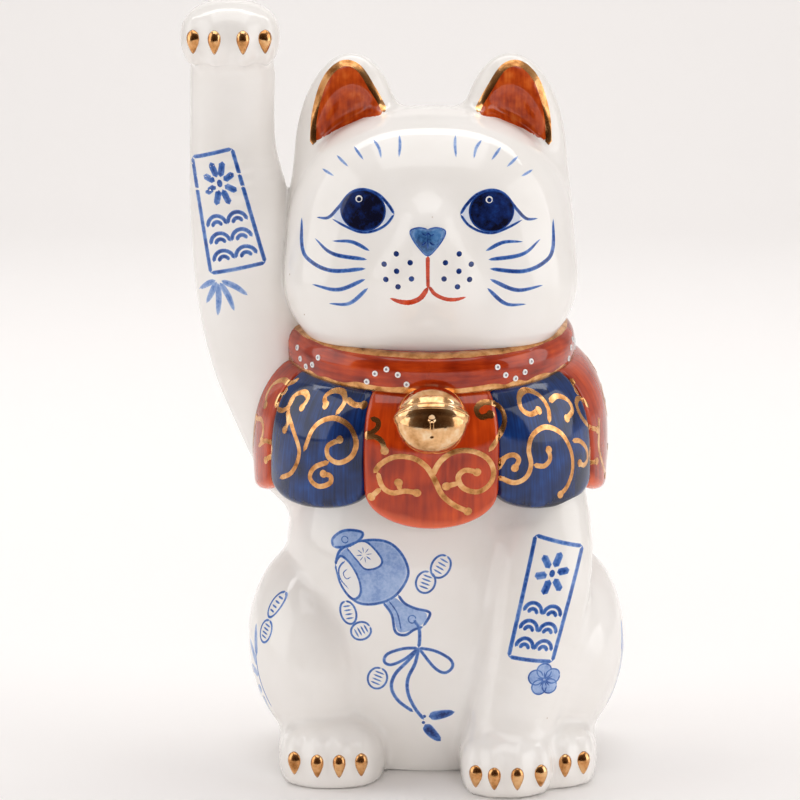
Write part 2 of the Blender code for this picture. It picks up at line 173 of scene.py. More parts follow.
# ----------------------------------------
# Left foreleg, raised right arm and tail
# The foreleg and tail are rolled from clay and the arm is cast hollow, all of them porcelain that
# tapers smoothly. Each is luted to the trunk with slip.
# ----------------------------------------
ARM = (
    (-36, 4, 96, 19),
    (-43.5, 5, 111, 18.5),
    (-51, 3, 129, 18),
    (-55.8, -1, 150, 17),
    (-58.8, -4, 174, 15.3),
    (-60.6, -6, 190, 13.4),
    (-60.8, -7, 202, 12.9),
    (-60.5, -9, 214, 13),
)
FORELEG = ((33, -12, 100, 12), (33.5, -27, 72, 16.2), (30.5, -34, 46, 15.5), (25.5, -38, 22, 13.5))
TAIL = ((6, 40, 14, 9), (16, 50, 20, 8.5), (22, 52, 32, 7.5), (23, 51, 38, 4.5))


def smooth_path(points, steps):
    """Points on a Catmull-Rom curve through the given ones; a point may carry more numbers."""
    points = np.array(points, float)
    ends = np.vstack([2 * points[0] - points[1], points, 2 * points[-1] - points[-2]])
    path = []
    for a, b, c, d in zip(ends, ends[1:], ends[2:], ends[3:]):
        for t in np.arange(steps) / steps:
            slope, bend, twist = c - a, 2 * a - 5 * b + 4 * c - d, 3 * b - a - 3 * c + d
            path.append((2 * b + slope * t + bend * t**2 + twist * t**3) / 2)
    return np.array(path + [points[-1]])


def limb(p, points):
    """About the distance to a tapered round limb through (x, y, z, radius) points."""
    path = smooth_path(points, 4)
    d = np.full(p.shape[:-1], 1e3)
    for a, b in zip(path, path[1:]):
        along = b[:3] - a[:3]
        t = np.clip((p - a[:3]) @ along / (along @ along), 0, 1)
        gap = p - a[:3] - t[..., None] * along
        d = np.minimum(d, np.sqrt((gap**2).sum(-1)) - a[3] - (b[3] - a[3]) * t)
    return d


castings["left_foreleg"] = (lambda p: limb(p, FORELEG), 6)
castings["left_forepaw"] = (left_forepaw, 5)
castings["right_hind_foot"] = (right_hind_foot, 3.5)
castings["left_hind_foot"] = (left_hind_foot, 3.5)
castings["tail"] = (lambda p: limb(p, TAIL), 5)
castings["raised_arm"] = (lambda p: limb(p, ARM), 6)

# ----------------------------------------
# Raised paw
# A solid porcelain paw luted onto the arm's end, bent forward at the wrist so that its claws hang
# towards the viewer.
# ----------------------------------------
RAISED_PAW_HALF = (14.9, 16.5, 10.6)
raised_paw_middle = centre_of("raised_paw")
raised_paw_toes = toes_of("raised_paw_claw", raised_paw_middle, -1.5)


def raised_paw(p):
    return paw(p, raised_paw_middle, RAISED_PAW_HALF, 2.3, raised_paw_toes, TOE_SINK)


castings["raised_paw"] = (raised_paw, 4.5)

# ----------------------------------------
# Head casting
# A hollow ball of porcelain with full cheeks, a small muzzle in two lobes and a broad bridge to
# the nose, cast in a mould of its own and luted onto the neck.
# ----------------------------------------
MUZZLE_X = centre_of("nose")[0]


def head(p):
    d = egg(p, (0, -8, 163), (44.3, 42, 42), 2.35)
    for side in (-1, 1):
        d = blend(d, egg(p, (20 * side, -22, 151), (22, 22, 18)), 10)
        d = blend(d, egg(p, (MUZZLE_X + 7 * side, -43, 156.5), (8.7, 11.2, 9.6)), 6)
    return blend(d, egg(p, (MUZZLE_X, -46, 168.5), (7, 8.5, 9)), 9)


castings["head"] = (head, 2.5)

# ----------------------------------------
# Ears
# Porcelain pressed in a small mould and luted on: a pointed shell with its front scooped out,
# leaning slightly inwards.
# ----------------------------------------
EAR_MIDDLE = (25.5, -7, 190)
EAR_SCOOP_MIDDLE = (25.2, -21, 193)


def ear(side):
    """The distance to the ear on one side, +1 for the cat's left."""

    def distance(p):
        x, y, z = EAR_MIDDLE
        shell = egg(p, (side * x, y, z), (16.3, 11, 31), turn=(0, -3 * side, 0))
        x, y, z = EAR_SCOOP_MIDDLE
        scoop = egg(p, (side * x, y, z), (11.5, 12, 21), turn=(0, -7 * side, 0))
        return carve(shell, scoop, 2.5)

    return distance


castings["right_ear"] = (ear(-1), 5)
castings["left_ear"] = (ear(1), 5)

# ----------------------------------------
# Joining the castings into one glazed skin
# The luted castings are fettled to one continuous surface. It is meshed at the surface itself and
# then divided into one closed shell per casting, meeting edge to edge.
# ----------------------------------------
SKIN_STEP = 1.25  # millimetres between the skin's points
SHELL_WALL = 2.4
FAR = 14.0  # beyond this from its box, a casting can't touch the fillets
SOLVE_STEPS = 4


def casting_distance(name, p):
    """A casting's distance, worked out only near it."""
    low, high = boxes[name]
    away = np.maximum(np.maximum(low - p, p - high), 0)
    d = np.sqrt((away**2).sum(-1))
    near = d < FAR
    d[near] = castings[name][0](p[near])
    return d


def skin(p):
    """The distance to the whole figure's surface, flat underneath."""
    d = None
    for name, (_, fillet) in castings.items():
        part = casting_distance(name, p)
        d = part if d is None else blend(d, part, fillet)
    return np.maximum(d, -p[..., 2])


def skin_normal(p, reach=0.08):
    """The outward direction at each point, from four samples of the distance."""
    corners = np.array([(1, -1, -1), (-1, -1, 1), (-1, 1, -1), (1, 1, 1)], float)
    slope = sum(corner * skin(p + corner * reach)[..., None] for corner in corners)
    return slope / np.linalg.norm(slope, axis=-1, keepdims=True)


def settle(p, steps=SOLVE_STEPS):
    """Points moved onto the surface."""
    for _ in range(steps):
        p = p - skin_normal(p) * np.clip(skin(p), -2, 2)[..., None]
    return p


def skin_mesh(step):
    """Points and quads of the whole surface, one point for each cell of a grid that it crosses."""
    low, high = (np.array(corner) / MM for corner in cad_box)
    low, high = low - 5 * step, high + 5 * step
    coarse = 4
    counts = (np.ceil((high - low) / step / coarse).astype(int) + 1) * coarse
    axes = [low[k] + step * np.arange(counts[k]) for k in range(3)]
    rough_axes = [axis[coarse // 2 :: coarse] for axis in axes]
    rough = skin(np.stack(np.meshgrid(*rough_axes, indexing="ij"), -1))
    value = rough.repeat(coarse, 0).repeat(coarse, 1).repeat(coarse, 2)
    close = np.argwhere(np.abs(value) < 1.6 * coarse * step)
    value[tuple(close.T)] = skin(low + step * close)

    inside = value < 0
    corner_sum = np.zeros(counts - 1, int)
    for i in (0, 1):
        for j in (0, 1):
            for k in (0, 1):
                ends = counts - 1 + (i, j, k)
                corner_sum += inside[i : ends[0], j : ends[1], k : ends[2]]
    crossed = (corner_sum > 0) & (corner_sum < 8)
    number = np.full(crossed.shape, -1)
    number[crossed] = np.arange(crossed.sum())
    points = low + step * (np.argwhere(crossed) + 0.5)

    quads = []
    for axis in range(3):
        side_a, side_b = (axis + 1) % 3, (axis + 2) % 3
        here = np.moveaxis(inside, axis, 0)[:-1]
        there = np.moveaxis(inside, axis, 0)[1:]
        for start, end, flip in ((here, there, False), (there, here, True)):
            edge = np.argwhere(np.moveaxis(start & ~end, 0, axis))
            around = []
            for back_a, back_b in ((0, 0), (1, 0), (1, 1), (0, 1)):
                cell = edge.copy()
                cell[:, side_a] -= back_a
                cell[:, side_b] -= back_b
                around.append(number[tuple(cell.T)])
            quad = np.stack(around, 1)
            quads.append(quad[:, ::-1] if flip else quad)
    return points, np.vstack(quads)


def relax(points, quads, rounds):
    """Evens out the quads while the points stay on the surface."""
    for _ in range(rounds):
        total = np.zeros_like(points)
        count = np.zeros(len(points))
        for i in range(4):
            for j in (1, 3):
                ends = quads[:, (i + j) % 4]
                count += np.bincount(quads[:, i], minlength=len(points))
                for k in range(3):
                    total[:, k] += np.bincount(quads[:, i], points[ends, k], len(points))
        points = settle(total / count[:, None], 1)
    return points


def make_piece(name, points, faces, finish, nodes=(), normals=None, marks=None):
    """A mesh object from points in millimetres, riding on the figure."""
    mesh = bpy.data.meshes.new(name)
    mesh.from_pydata((np.asarray(points) * MM).tolist(), [], [list(map(int, f)) for f in faces])
    mesh.materials.append(finish)
    mesh.shade_smooth()
    if marks is not None:
        mesh.attributes.new("brush", "FLOAT_VECTOR", "POINT").data.foreach_set("vector", np.ravel(marks))
    if normals is not None:
        mesh.normals_split_custom_set_from_vertices(np.asarray(normals).tolist())
    piece = bpy.data.objects.new(name, mesh)
    bpy.context.scene.collection.objects.link(piece)
    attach(piece, "root")
    if nodes:
        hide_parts(*nodes)
    return piece


def linear(code):
    """An sRGB hex colour as the linear colour that a shader takes."""
    parts = [int(code[i : i + 2], 16) / 255 for i in (0, 2, 4)]
    return tuple(c / 12.92 if c <= 0.04045 else ((c + 0.055) / 1.055) ** 2.4 for c in parts) + (1,)


def add_node(tree, kind, sockets=None, stops=(), **settings):
    """Adds a shader node. A socket is given a value, or another node's output to link to. Stops are
    the (position, hex colour) pairs of a colour ramp."""
    made = tree.nodes.new(kind)
    for key, value in settings.items():
        setattr(made, key, value)
    for key, value in (sockets or {}).items():
        if isinstance(value, bpy.types.NodeSocket):
            tree.links.new(value, made.inputs[key])
        else:
            made.inputs[key].default_value = value
    for index, (position, code) in enumerate(stops):
        elements = made.color_ramp.elements
        stop = elements[index] if index < len(elements) else elements.new(position)
        stop.position = position
        stop.color = linear(code)
    return made


def new_finish(name):
    finish = bpy.data.materials.new(name)
    finish.use_nodes = True
    finish.node_tree.nodes.clear()
    return finish, finish.node_tree


def show(tree, sockets):
    """Ends a finish with its shader."""
    shader = add_node(tree, "ShaderNodeBsdfPrincipled", sockets)
    add_node(tree, "ShaderNodeOutputMaterial", {"Surface": shader.outputs["BSDF"]})


GLAZE_WAVE = 11.0  # millimetres from one soft ripple of the glaze to the next
GLAZE_DEPTH = 0.05
GLAZE_ROUGHNESS = 0.06
GLAZE_IOR = 1.5
BISQUE_ROUGHNESS = 0.6
SPECK_GAP = 13.0  # millimetres between iron specks
BODY_CLOUD = 30.0  # millimetres across the clouds of warmer and cooler white


def glaze_ripple(tree, place):
    """The faint unevenness of a poured glaze, which makes its reflections wander."""
    waves = {"Vector": place, "Scale": 1 / (GLAZE_WAVE * MM), "Detail": 1.0, "Roughness": 0.4}
    height = add_node(tree, "ShaderNodeTexNoise", waves).outputs["Fac"]
    sockets = {"Height": height, "Distance": GLAZE_DEPTH * MM, "Strength": 1.0}
    return add_node(tree, "ShaderNodeBump", sockets).outputs["Normal"]


def glazed_porcelain():
    """Porcelain under a clear glaze: white with a breath of warmth, wet-looking, with a few iron
    specks. The foot is wiped bare before firing, so the very bottom is dull bisque."""
    finish, tree = new_finish("glazed_porcelain")
    place = add_node(tree, "ShaderNodeTexCoord").outputs["Object"]
    clouds = {"Vector": place, "Scale": 1 / (BODY_CLOUD * MM), "Detail": 3.0, "Roughness": 0.55}
    cloud = add_node(tree, "ShaderNodeTexNoise", clouds).outputs["Fac"]
    whites = ((0.3, "EDE9E4"), (0.7, "F4F1EE"))
    tone = add_node(tree, "ShaderNodeValToRGB", {"Fac": cloud}, whites).outputs["Color"]
    cells = {"Vector": place, "Scale": 1 / (SPECK_GAP * MM)}
    cell = add_node(tree, "ShaderNodeTexVoronoi", cells).outputs["Distance"]
    iron = ((0.012, "B79C80"), (0.028, "FFFFFF"))
    specks = add_node(tree, "ShaderNodeValToRGB", {"Fac": cell}, iron).outputs["Color"]
    both = {0: 1.0, 6: tone, 7: specks}
    colour = add_node(tree, "ShaderNodeMix", both, data_type="RGBA", blend_type="MULTIPLY").outputs[2]
    height = add_node(tree, "ShaderNodeSeparateXYZ", {"Vector": place}).outputs["Z"]
    foot = {"Value": height, "From Min": 0.2 * MM, "From Max": 0.7 * MM}
    foot.update({"To Min": BISQUE_ROUGHNESS, "To Max": GLAZE_ROUGHNESS})
    sockets = {
        "Base Color": colour,
        "Roughness": add_node(tree, "ShaderNodeMapRange", foot).outputs["Result"],
        "IOR": GLAZE_IOR,
        "Normal": glaze_ripple(tree, place),
    }
    show(tree, sockets)
    return finish


def shell_pieces(points, quads, normals, finish):
    """Divides the skin by its nearest casting, and gives each part an inner wall and a rim."""
    middles = points[quads].mean(1)
    names = list(castings)
    owner = np.argmin([casting_distance(name, middles) for name in names], 0)
    for index, name in enumerate(names):
        outer = quads[owner == index]
        used, outer = np.unique(outer, return_inverse=True)
        outer = outer.reshape(-1, 4)
        edges = np.vstack([outer[:, [k, (k + 1) % 4]] for k in range(4)])
        both = {tuple(edge) for edge in edges.tolist()}
        open_edges = [edge for edge in both if edge[::-1] not in both]
        count = len(used)
        inner_points = points[used] - normals[used] * SHELL_WALL
        rim = [(b, a, a + count, b + count) for a, b in open_edges]
        faces = outer.tolist() + (outer[:, ::-1] + count).tolist() + rim
        every_point = np.vstack([points[used], inner_points])
        every_normal = np.vstack([normals[used], -normals[used]])
        make_piece(name + "_glazed", every_point, faces, finish, [name], every_normal)


porcelain = glazed_porcelain()
skin_points, skin_quads = skin_mesh(SKIN_STEP)
skin_points = relax(settle(skin_points), skin_quads, 3)
skin_points = settle(skin_points)
skin_normals = skin_normal(skin_points)
shell_pieces(skin_points, skin_quads, skin_normals, porcelain)

# ----------------------------------------
# Painted marks
# Cobalt oxide is brushed on the biscuit and covered by the clear glaze, so the marks have no
# height of their own and shine as the porcelain does. Each is a thin inlay laid into the skin.
# ----------------------------------------
INLAY_DEPTH = 0.25
MARK_LIFT = 0.03
MARK_STEP = 0.8
ACROSS = ((-1.0, 0.0), (-0.72, 0.75), (0.0, 1.0), (0.72, 0.75), (1.0, 0.0))  # a stroke's section
CANVAS_AWAY = 95  # how far in front of the figure's middle a canvas is held
CANVAS_STEPS = 70


def pencil(azimuth=0.0):
    """A canvas held level at an azimuth, 0 at the front and 90 at the cat's left. It gives the
    place and outward direction on the skin straight behind each (u, v)."""
    turn = math.radians(azimuth)
    across = np.array([math.cos(turn), math.sin(turn), 0])
    inwards = np.array([-math.sin(turn), math.cos(turn), 0])

    def canvas(uv):
        p = uv[:, :1] * across + uv[:, 1:] * [[0, 0, 1]] - CANVAS_AWAY * inwards
        for _ in range(CANVAS_STEPS):
            p = p + inwards * np.clip(skin(p), -3, 12)[:, None] * 0.9
        return p, skin_normal(p)

    return canvas


def stroke(line, width, lift=MARK_LIFT, tip=(2.5, 2.5), load=1.0):
    """One brush stroke along (u, v) points or (u, v, share of the width): its surface as
    (u, v, height, and the brush mark: along, across, pigment), and its faces."""
    line = np.array([tuple(point) + (1.0,) * (3 - len(point)) for point in line], float)
    length = np.linalg.norm(np.diff(line[:, :2], axis=0), axis=1).sum()
    steps = max(3, round(length / MARK_STEP / (len(line) - 1)))
    path = smooth_path(line, steps)
    run = np.concatenate([[0], np.linalg.norm(np.diff(path[:, :2], axis=0), axis=1).cumsum()])
    slope = np.gradient(path[:, :2], axis=0)
    slope /= np.linalg.norm(slope, axis=1, keepdims=True) + 1e-9
    side = np.stack([-slope[:, 1], slope[:, 0]], 1)
    thin = np.ones(len(path))
    for start, reach in ((run, tip[0]), (run[-1] - run, tip[1])):
        thin *= np.sqrt(1 - (1 - np.clip(start / max(reach, 0.01), 0, 1)) ** 2)
    half = np.maximum(width / 2 * path[:, 2] * thin, 0.02)
    rows = []
    for share, dome in ACROSS:
        height = lift * dome - 0.04 * (dome == 0)
        rows.append((share, np.full(len(path), height), dome))
    rows += [(0.6, np.full(len(path), -INLAY_DEPTH), 0), (-0.6, np.full(len(path), -INLAY_DEPTH), 0)]
    points, marks = [], []
    for share, height, dome in rows:
        points.append(np.column_stack([path[:, :2] + side * (half * share)[:, None], height]))
        pigment = load * dome * (0.75 + 0.25 * thin)
        marks.append(np.column_stack([run, half * share, pigment]))
    ring, count = len(rows), len(path)
    index = np.arange(ring * count).reshape(ring, count)
    faces = []
    for i in range(ring):
        a, b = index[i], index[(i + 1) % ring]
        faces += [(a[j], a[j + 1], b[j + 1], b[j]) for j in range(count - 1)]
    faces += [tuple(index[:, 0]), tuple(index[::-1, -1])]
    return np.vstack(points), np.vstack(marks), faces


def closed_curve(points, steps=6):
    """A smooth closed outline through the given points."""
    loop = [points[-1], *points, points[0], points[1]]
    return smooth_path(loop, steps)[steps : -steps - 1]


def wash(outline, lift=MARK_LIFT, load=0.5, dome=0.0, rings=(0.0, 0.4, 0.75, 0.93, 1.0)):
    """A filled patch inside a closed outline, which has to be star-shaped from its middle."""
    edge = closed_curve(outline)
    middle = edge.mean(0)
    points, marks = [], []
    count = len(edge)
    for level in (1, -1):
        for share in rings[1:] if level > 0 else rings[-1:0:-1]:
            flat = middle + (edge - middle) * (share if level > 0 else share * 0.97)
            height = lift + dome * (1 - share**2) if share < 1 else -0.04
            height = height if level > 0 else -INLAY_DEPTH
            points.append(np.column_stack([flat, np.full(count, height)]))
            pigment = load * (1.0 if share < 0.95 else 0.55)
            marks.append(np.column_stack([flat, np.full(count, pigment)]))
    layers = len(points)
    top, bottom = layers * count, layers * count + 1
    points.append(np.array([[*middle, lift + dome], [*middle, -INLAY_DEPTH]]))
    marks.append(np.array([[*middle, load], [*middle, load]]))
    ahead = (np.arange(count) + 1) % count
    faces = [(top, i, ahead[i]) for i in range(count)]
    for layer in range(layers - 1):
        a, b = layer * count, (layer + 1) * count
        faces += [(a + i, b + i, b + ahead[i], a + ahead[i]) for i in range(count)]
    last = (layers - 1) * count
    faces += [(last + i, bottom, last + ahead[i]) for i in range(count)]
    turn = np.cross(edge - middle, np.roll(edge, -1, 0) - middle).sum()
    if turn < 0:
        faces = [face[::-1] for face in faces]
    return np.vstack(points), np.vstack(marks), faces


def paint(name, canvas, strokes, finish, nodes=(), flush=True):
    """Lays strokes on a canvas as one piece. Flush marks are lit as the glaze over them is."""
    points = np.vstack([part[0] for part in strokes])
    marks = np.vstack([part[1] for part in strokes])
    faces, first = [], 0
    for part in strokes:
        faces += [tuple(int(i) + first for i in face) for face in part[2]]
        first += len(part[0])
    place, outward = canvas(points[:, :2])
    place = place + outward * points[:, 2:]
    return make_piece(name, place, faces, finish, nodes, outward if flush else None, marks)


def underglaze_cobalt(name, stops, grain=0.9):
    """Cobalt under clear glaze: pale where the brush was dry, inky where it was loaded, with the
    granules of oxide just visible. The edge of a stroke fades into the porcelain."""
    finish, tree = new_finish(name)
    place = add_node(tree, "ShaderNodeTexCoord").outputs["Object"]
    brush = add_node(tree, "ShaderNodeAttribute", attribute_name="brush").outputs["Vector"]
    pigment = add_node(tree, "ShaderNodeSeparateXYZ", {"Vector": brush}).outputs["Z"]
    fine = {"Vector": place, "Scale": 1 / (grain * MM), "Detail": 4.0, "Roughness": 0.65}
    coarse = {"Vector": place, "Scale": 1 / (5 * grain * MM), "Detail": 2.0, "Roughness": 0.5}
    granules, cloud = (add_node(tree, "ShaderNodeTexNoise", kind).outputs["Fac"] for kind in (fine, coarse))
    spread = add_node(tree, "ShaderNodeMath", {0: granules, 1: cloud}, operation="MULTIPLY").outputs[0]
    limits = {"Value": spread, "From Min": 0.12, "From Max": 0.36, "To Min": 0.72, "To Max": 1.18}
    uneven = add_node(tree, "ShaderNodeMapRange", limits).outputs["Result"]
    depth = add_node(tree, "ShaderNodeMath", {0: pigment, 1: uneven}, operation="MULTIPLY").outputs[0]
    sockets = {
        "Base Color": add_node(tree, "ShaderNodeValToRGB", {"Fac": depth}, stops).outputs["Color"],
        "Roughness": GLAZE_ROUGHNESS,
        "IOR": GLAZE_IOR,
        "Normal": glaze_ripple(tree, place),
    }
    show(tree, sockets)
    return finish


cobalt = underglaze_cobalt(
    "cobalt_underglaze",
    ((0.0, "F1EEEA"), (0.3, "A9BFE4"), (0.6, "4F78BE"), (0.85, "274A93"), (1.0, "152C66")),
)
front = pencil()

# ----------------------------------------
# Face lines: brows, whiskers and freckles
# Drawn freehand with a liner brush: five short brow marks and five tapered whiskers on each
# side, and seven dots on each lobe of the muzzle.
# ----------------------------------------
WHISKER_WIDTH = 1.5
BROW_WIDTH = 1.15
DOT_RADIUS = 0.85
nose_x, nose_z = centre_of("nose")[0], centre_of("nose")[2] - 0.3
WHISKERS = (
    ((17.2, -3.6), (22.5, -1.2), (28.4, -1.3)),
    ((18.0, -6.2), (28.2, -5.0), (33.7, -1.0)),
    ((18.4, -8.9), (28.5, -10.0), (35.0, -7.8), (37.6, -4.2), (37.8, 4.5)),
    ((18.5, -12.0), (26.5, -15.5), (34.5, -14.6)),
    ((17.7, -14.6), (23.2, -19.5), (29.4, -20.0)),
)
BROWS = (
    ((31.6, 19.2), (28.0, 17.6)),
    ((27.2, 23.3), (23.7, 20.5)),
    ((22.0, 26.1), (19.1, 22.6)),
    ((16.2, 28.2), (14.5, 26.0), (13.8, 23.2)),
    ((8.4, 29.6), (8.2, 27.0), (8.5, 23.6)),
)
FRECKLES = ((9.3, -4), (12.9, -7.2), (5.2, -6.4), (9.2, -9), (12.4, -11.6), (4.8, -11.2), (8.8, -13.6))


def disc(u, v, radius, points=8):
    angles = 2 * math.pi * np.arange(points) / points
    return [(u + radius * math.cos(a), v + radius * math.sin(a)) for a in angles]


def about(x, z, points, side=1):
    """Points set out from (x, z), mirrored where side is -1."""
    return [(x + side * u, z + v) for u, v in points]


whisker_strokes, brow_strokes, freckles = [], [], []
for side in (-1, 1):
    for line in WHISKERS:
        placed = about(nose_x, nose_z, line, side)
        whisker_strokes.append(stroke(placed, WHISKER_WIDTH, tip=(4, 11), load=0.86))
    for line in BROWS:
        placed = about(nose_x, nose_z, line, side)
        brow_strokes.append(stroke(placed, BROW_WIDTH, tip=(2.5, 3.5), load=0.6))
    for x, z in FRECKLES:
        spot = disc(nose_x + side * x, nose_z + z, DOT_RADIUS)
        freckles.append(wash(spot, load=1.0))
paint("whiskers", front, whisker_strokes, cobalt)
paint("brows", front, brow_strokes, cobalt)
paint("muzzle_dots", front, freckles, cobalt)

# ----------------------------------------
# Eyes
# Each eye is a low dome of cobalt, near black where it pooled, in an almond of two lid lines that
# leave pale corners. A ring of white enamel on top is the catchlight.
# ----------------------------------------
IRIS_HALF = (6.9, 6.1)
IRIS_DOME = 0.9
LID_WIDTH = 1.0
IRIS_INWARDS = 0.7  # how far the iris sits towards the nose from the middle of the eye
IRIS_RINGS = (0, 0.2, 0.4, 0.6, 0.78, 0.9, 0.97, 1)
UPPER_LID = (
    *((13.9, -2.9), (10.4, -2.6), (7.3, 0.6), (3.8, 4.8)),
    *((-0.1, 6.1), (-4.4, 4.9), (-7.5, 2.0), (-9.3, -0.7)),
)
LOWER_LID = ((-9.3, -0.7), (-6.9, -3.8), (-3.3, -5.8), (0.7, -6.3), (5.0, -4.9), (9.2, -2.9))
CORNER = ((9.0, -2.6), (7.0, 0.6), (0, 2), (-7.2, 2.0), (-9.1, -0.7), (-6.7, -3.6), (0, -4), (5, -4.8))

inky = underglaze_cobalt(
    "pooled_cobalt",
    ((0.0, "2B4E93"), (0.5, "1A3F86"), (0.68, "0F2459"), (0.84, "070C24")),
    grain=2.4,
)


def white_enamel():
    """Opaque white overglaze enamel, laid on thick enough to stand up, grey where it is thin."""
    finish, tree = new_finish("white_enamel")
    brush = add_node(tree, "ShaderNodeAttribute", attribute_name="brush").outputs["Vector"]
    thin = add_node(tree, "ShaderNodeSeparateXYZ", {"Vector": brush}).outputs["Z"]
    tones = ((0.0, "F3F1EF"), (1.0, "8F8A93"))
    colour = add_node(tree, "ShaderNodeValToRGB", {"Fac": thin}, tones).outputs["Color"]
    show(tree, {"Base Color": colour, "Roughness": 0.12})
    return finish


enamel_white = white_enamel()
for name, side in (("right_eye", -1), ("left_eye", 1)):
    eye = (centre_of(name)[0] - side * IRIS_INWARDS, centre_of(name)[2] - 0.4)
    whites = [wash(about(*eye, CORNER, side), load=0.14)]
    paint(name + "_corners", front, whites, cobalt)
    turns = 2 * math.pi * np.arange(16) / 16
    rim = [(IRIS_HALF[0] * math.cos(a), IRIS_HALF[1] * math.sin(a)) for a in turns]
    iris = wash(about(*eye, rim, side), lift=0.12, load=0.8, dome=IRIS_DOME, rings=IRIS_RINGS)
    paint(name + "_iris", front, [iris], inky, [name])
    upper = stroke(about(*eye, UPPER_LID, side), LID_WIDTH * 1.1, lift=0.16, tip=(5, 1.5), load=1.0)
    lower = stroke(about(*eye, LOWER_LID, side), LID_WIDTH * 0.9, lift=0.16, tip=(1.5, 4), load=0.95)
    paint(name + "_lids", front, [upper, lower], cobalt)
    ring = disc(eye[0] - 0.9, eye[1] + 3.2, 0.85, 12)
    light = stroke(ring + ring[:1], 0.55, lift=1.0, tip=(0, 0), load=0.0)
    paint(name + "_catchlight", front, [light], enamel_white)

# ----------------------------------------
# Nose
# A raised, rounded triangle of clay sprigged onto the muzzle, under pale cobalt that broke into
# darker pools as it dried.
# ----------------------------------------
NOSE_OUTLINE = ((0, 3.5), (2.6, 3.9), (5.0, 3.0), (4.6, 0.9), (2.3, -2.3), (0, -4.2))
nose_cobalt = underglaze_cobalt(
    "pale_nose_cobalt",
    ((0.0, "8FAFD2"), (0.35, "6C93C0"), (0.55, "4878AE"), (0.75, "1F4476"), (0.95, "122650")),
    grain=1.1,
)
NOSE_RINGS = (0, 0.3, 0.55, 0.75, 0.9, 1)
NOSE_VEINS = (
    ((0, 2.9), (0, 0.3), (0, -2.2)),
    ((-1.7, 2.3), (-0.6, 1.7), (0.1, 2.3), (0.9, 1.6), (1.8, 2.2)),
    ((-0.2, 0.2), (-1.3, -0.9), (-1.9, -0.8)),
    ((0.2, 0.2), (1.3, -0.9), (1.9, -0.8)),
)
rim = about(nose_x, nose_z, NOSE_OUTLINE) + about(nose_x, nose_z, NOSE_OUTLINE[-2:0:-1], -1)
nose = wash(rim, lift=0.1, load=0.62, dome=0.6, rings=NOSE_RINGS)
paint("nose_sprig", front, [nose], nose_cobalt, ["nose"], flush=False)
veins = [stroke(about(nose_x, nose_z, line), 0.8, lift=0.74, tip=(0.6, 0.9)) for line in NOSE_VEINS]
veins.append(stroke(rim + rim[:1], 0.55, lift=0.3, tip=(0, 0), load=0.8))
paint("nose_veins", front, veins, cobalt)

# ----------------------------------------
# Mouth
# Three strokes of iron-red enamel fired over the glaze: down from the nose, and a curl to each
# side that swells and tapers with the brush.
# ----------------------------------------
PHILTRUM = ((0, -4.2), (0, -9), (0.1, -14.2))
RIGHT_CURL = ((0.2, -13.6), (-1.9, -17.0), (-5.0, -18.5), (-8.2, -18.3), (-11.2, -17.3))
LEFT_CURL = ((0.2, -13.4), (2.2, -16.0), (5.2, -17.4), (8.2, -17.6), (11.4, -16.9))


def brushed_enamel(name, stops, streak=(0.9, 9.0), pool=7.0, hem=None, roughness=0.07):
    """Coloured overglaze enamel: thin and bright along the brush's hairs, dark where it pools,
    under a soft fired gloss. A hem colour shows where the brush rested at a lappet's end."""
    finish, tree = new_finish(name)
    brush = add_node(tree, "ShaderNodeAttribute", attribute_name="brush").outputs["Vector"]
    per_hair = {0: brush, 1: (1 / streak[0], 1 / streak[1], 0)}
    hairs = add_node(tree, "ShaderNodeVectorMath", per_hair, operation="MULTIPLY").outputs[0]
    fine = add_node(tree, "ShaderNodeTexNoise", {"Vector": hairs, "Scale": 1.0, "Detail": 3.0})
    place = add_node(tree, "ShaderNodeTexCoord").outputs["Object"]
    puddles = {"Vector": place, "Scale": 1 / (pool * MM), "Detail": 2.0, "Roughness": 0.5}
    pools = add_node(tree, "ShaderNodeTexNoise", puddles).outputs["Fac"]
    share = {0: fine.outputs["Fac"], 1: 0.45, 2: 0.0}
    streaks = add_node(tree, "ShaderNodeMath", share, operation="MULTIPLY_ADD").outputs[0]
    both = {0: pools, 1: 0.55, 2: streaks}
    load = add_node(tree, "ShaderNodeMath", both, operation="MULTIPLY_ADD").outputs[0]
    colour = add_node(tree, "ShaderNodeValToRGB", {"Fac": load}, stops).outputs["Color"]
    if hem:
        code, wander, start, end = hem
        down = add_node(tree, "ShaderNodeSeparateXYZ", {"Vector": brush}).outputs["Z"]
        edge = {0: pools, 1: wander, 2: down}
        ragged = add_node(tree, "ShaderNodeMath", edge, operation="MULTIPLY_ADD").outputs[0]
        reach = {"Value": ragged, "From Min": start, "From Max": end}
        amount = add_node(tree, "ShaderNodeMapRange", reach).outputs["Result"]
        mixed = {0: amount, 6: colour, 7: linear(code)}
        colour = add_node(tree, "ShaderNodeMix", mixed, data_type="RGBA").outputs[2]
    ripple = add_node(tree, "ShaderNodeBump", {"Height": load, "Distance": 0.03 * MM, "Strength": 0.35})
    normal = ripple.outputs["Normal"]
    show(tree, {"Base Color": colour, "Roughness": roughness, "IOR": 1.52, "Normal": normal})
    return finish


line_red_tones = ((0.3, "E0603C"), (0.5, "C63F1E"), (0.7, "8E2412"))
iron_red_line = brushed_enamel("iron_red_line", line_red_tones, pool=3.0)
mouth = []
for line, width, tip in ((PHILTRUM, 1.4, (1, 1)), (RIGHT_CURL, 2.0, (3, 7)), (LEFT_CURL, 1.45, (2, 5))):
    mouth.append(stroke(about(nose_x, nose_z, line), width, tip=tip))
paint("mouth", front, mouth, iron_red_line)

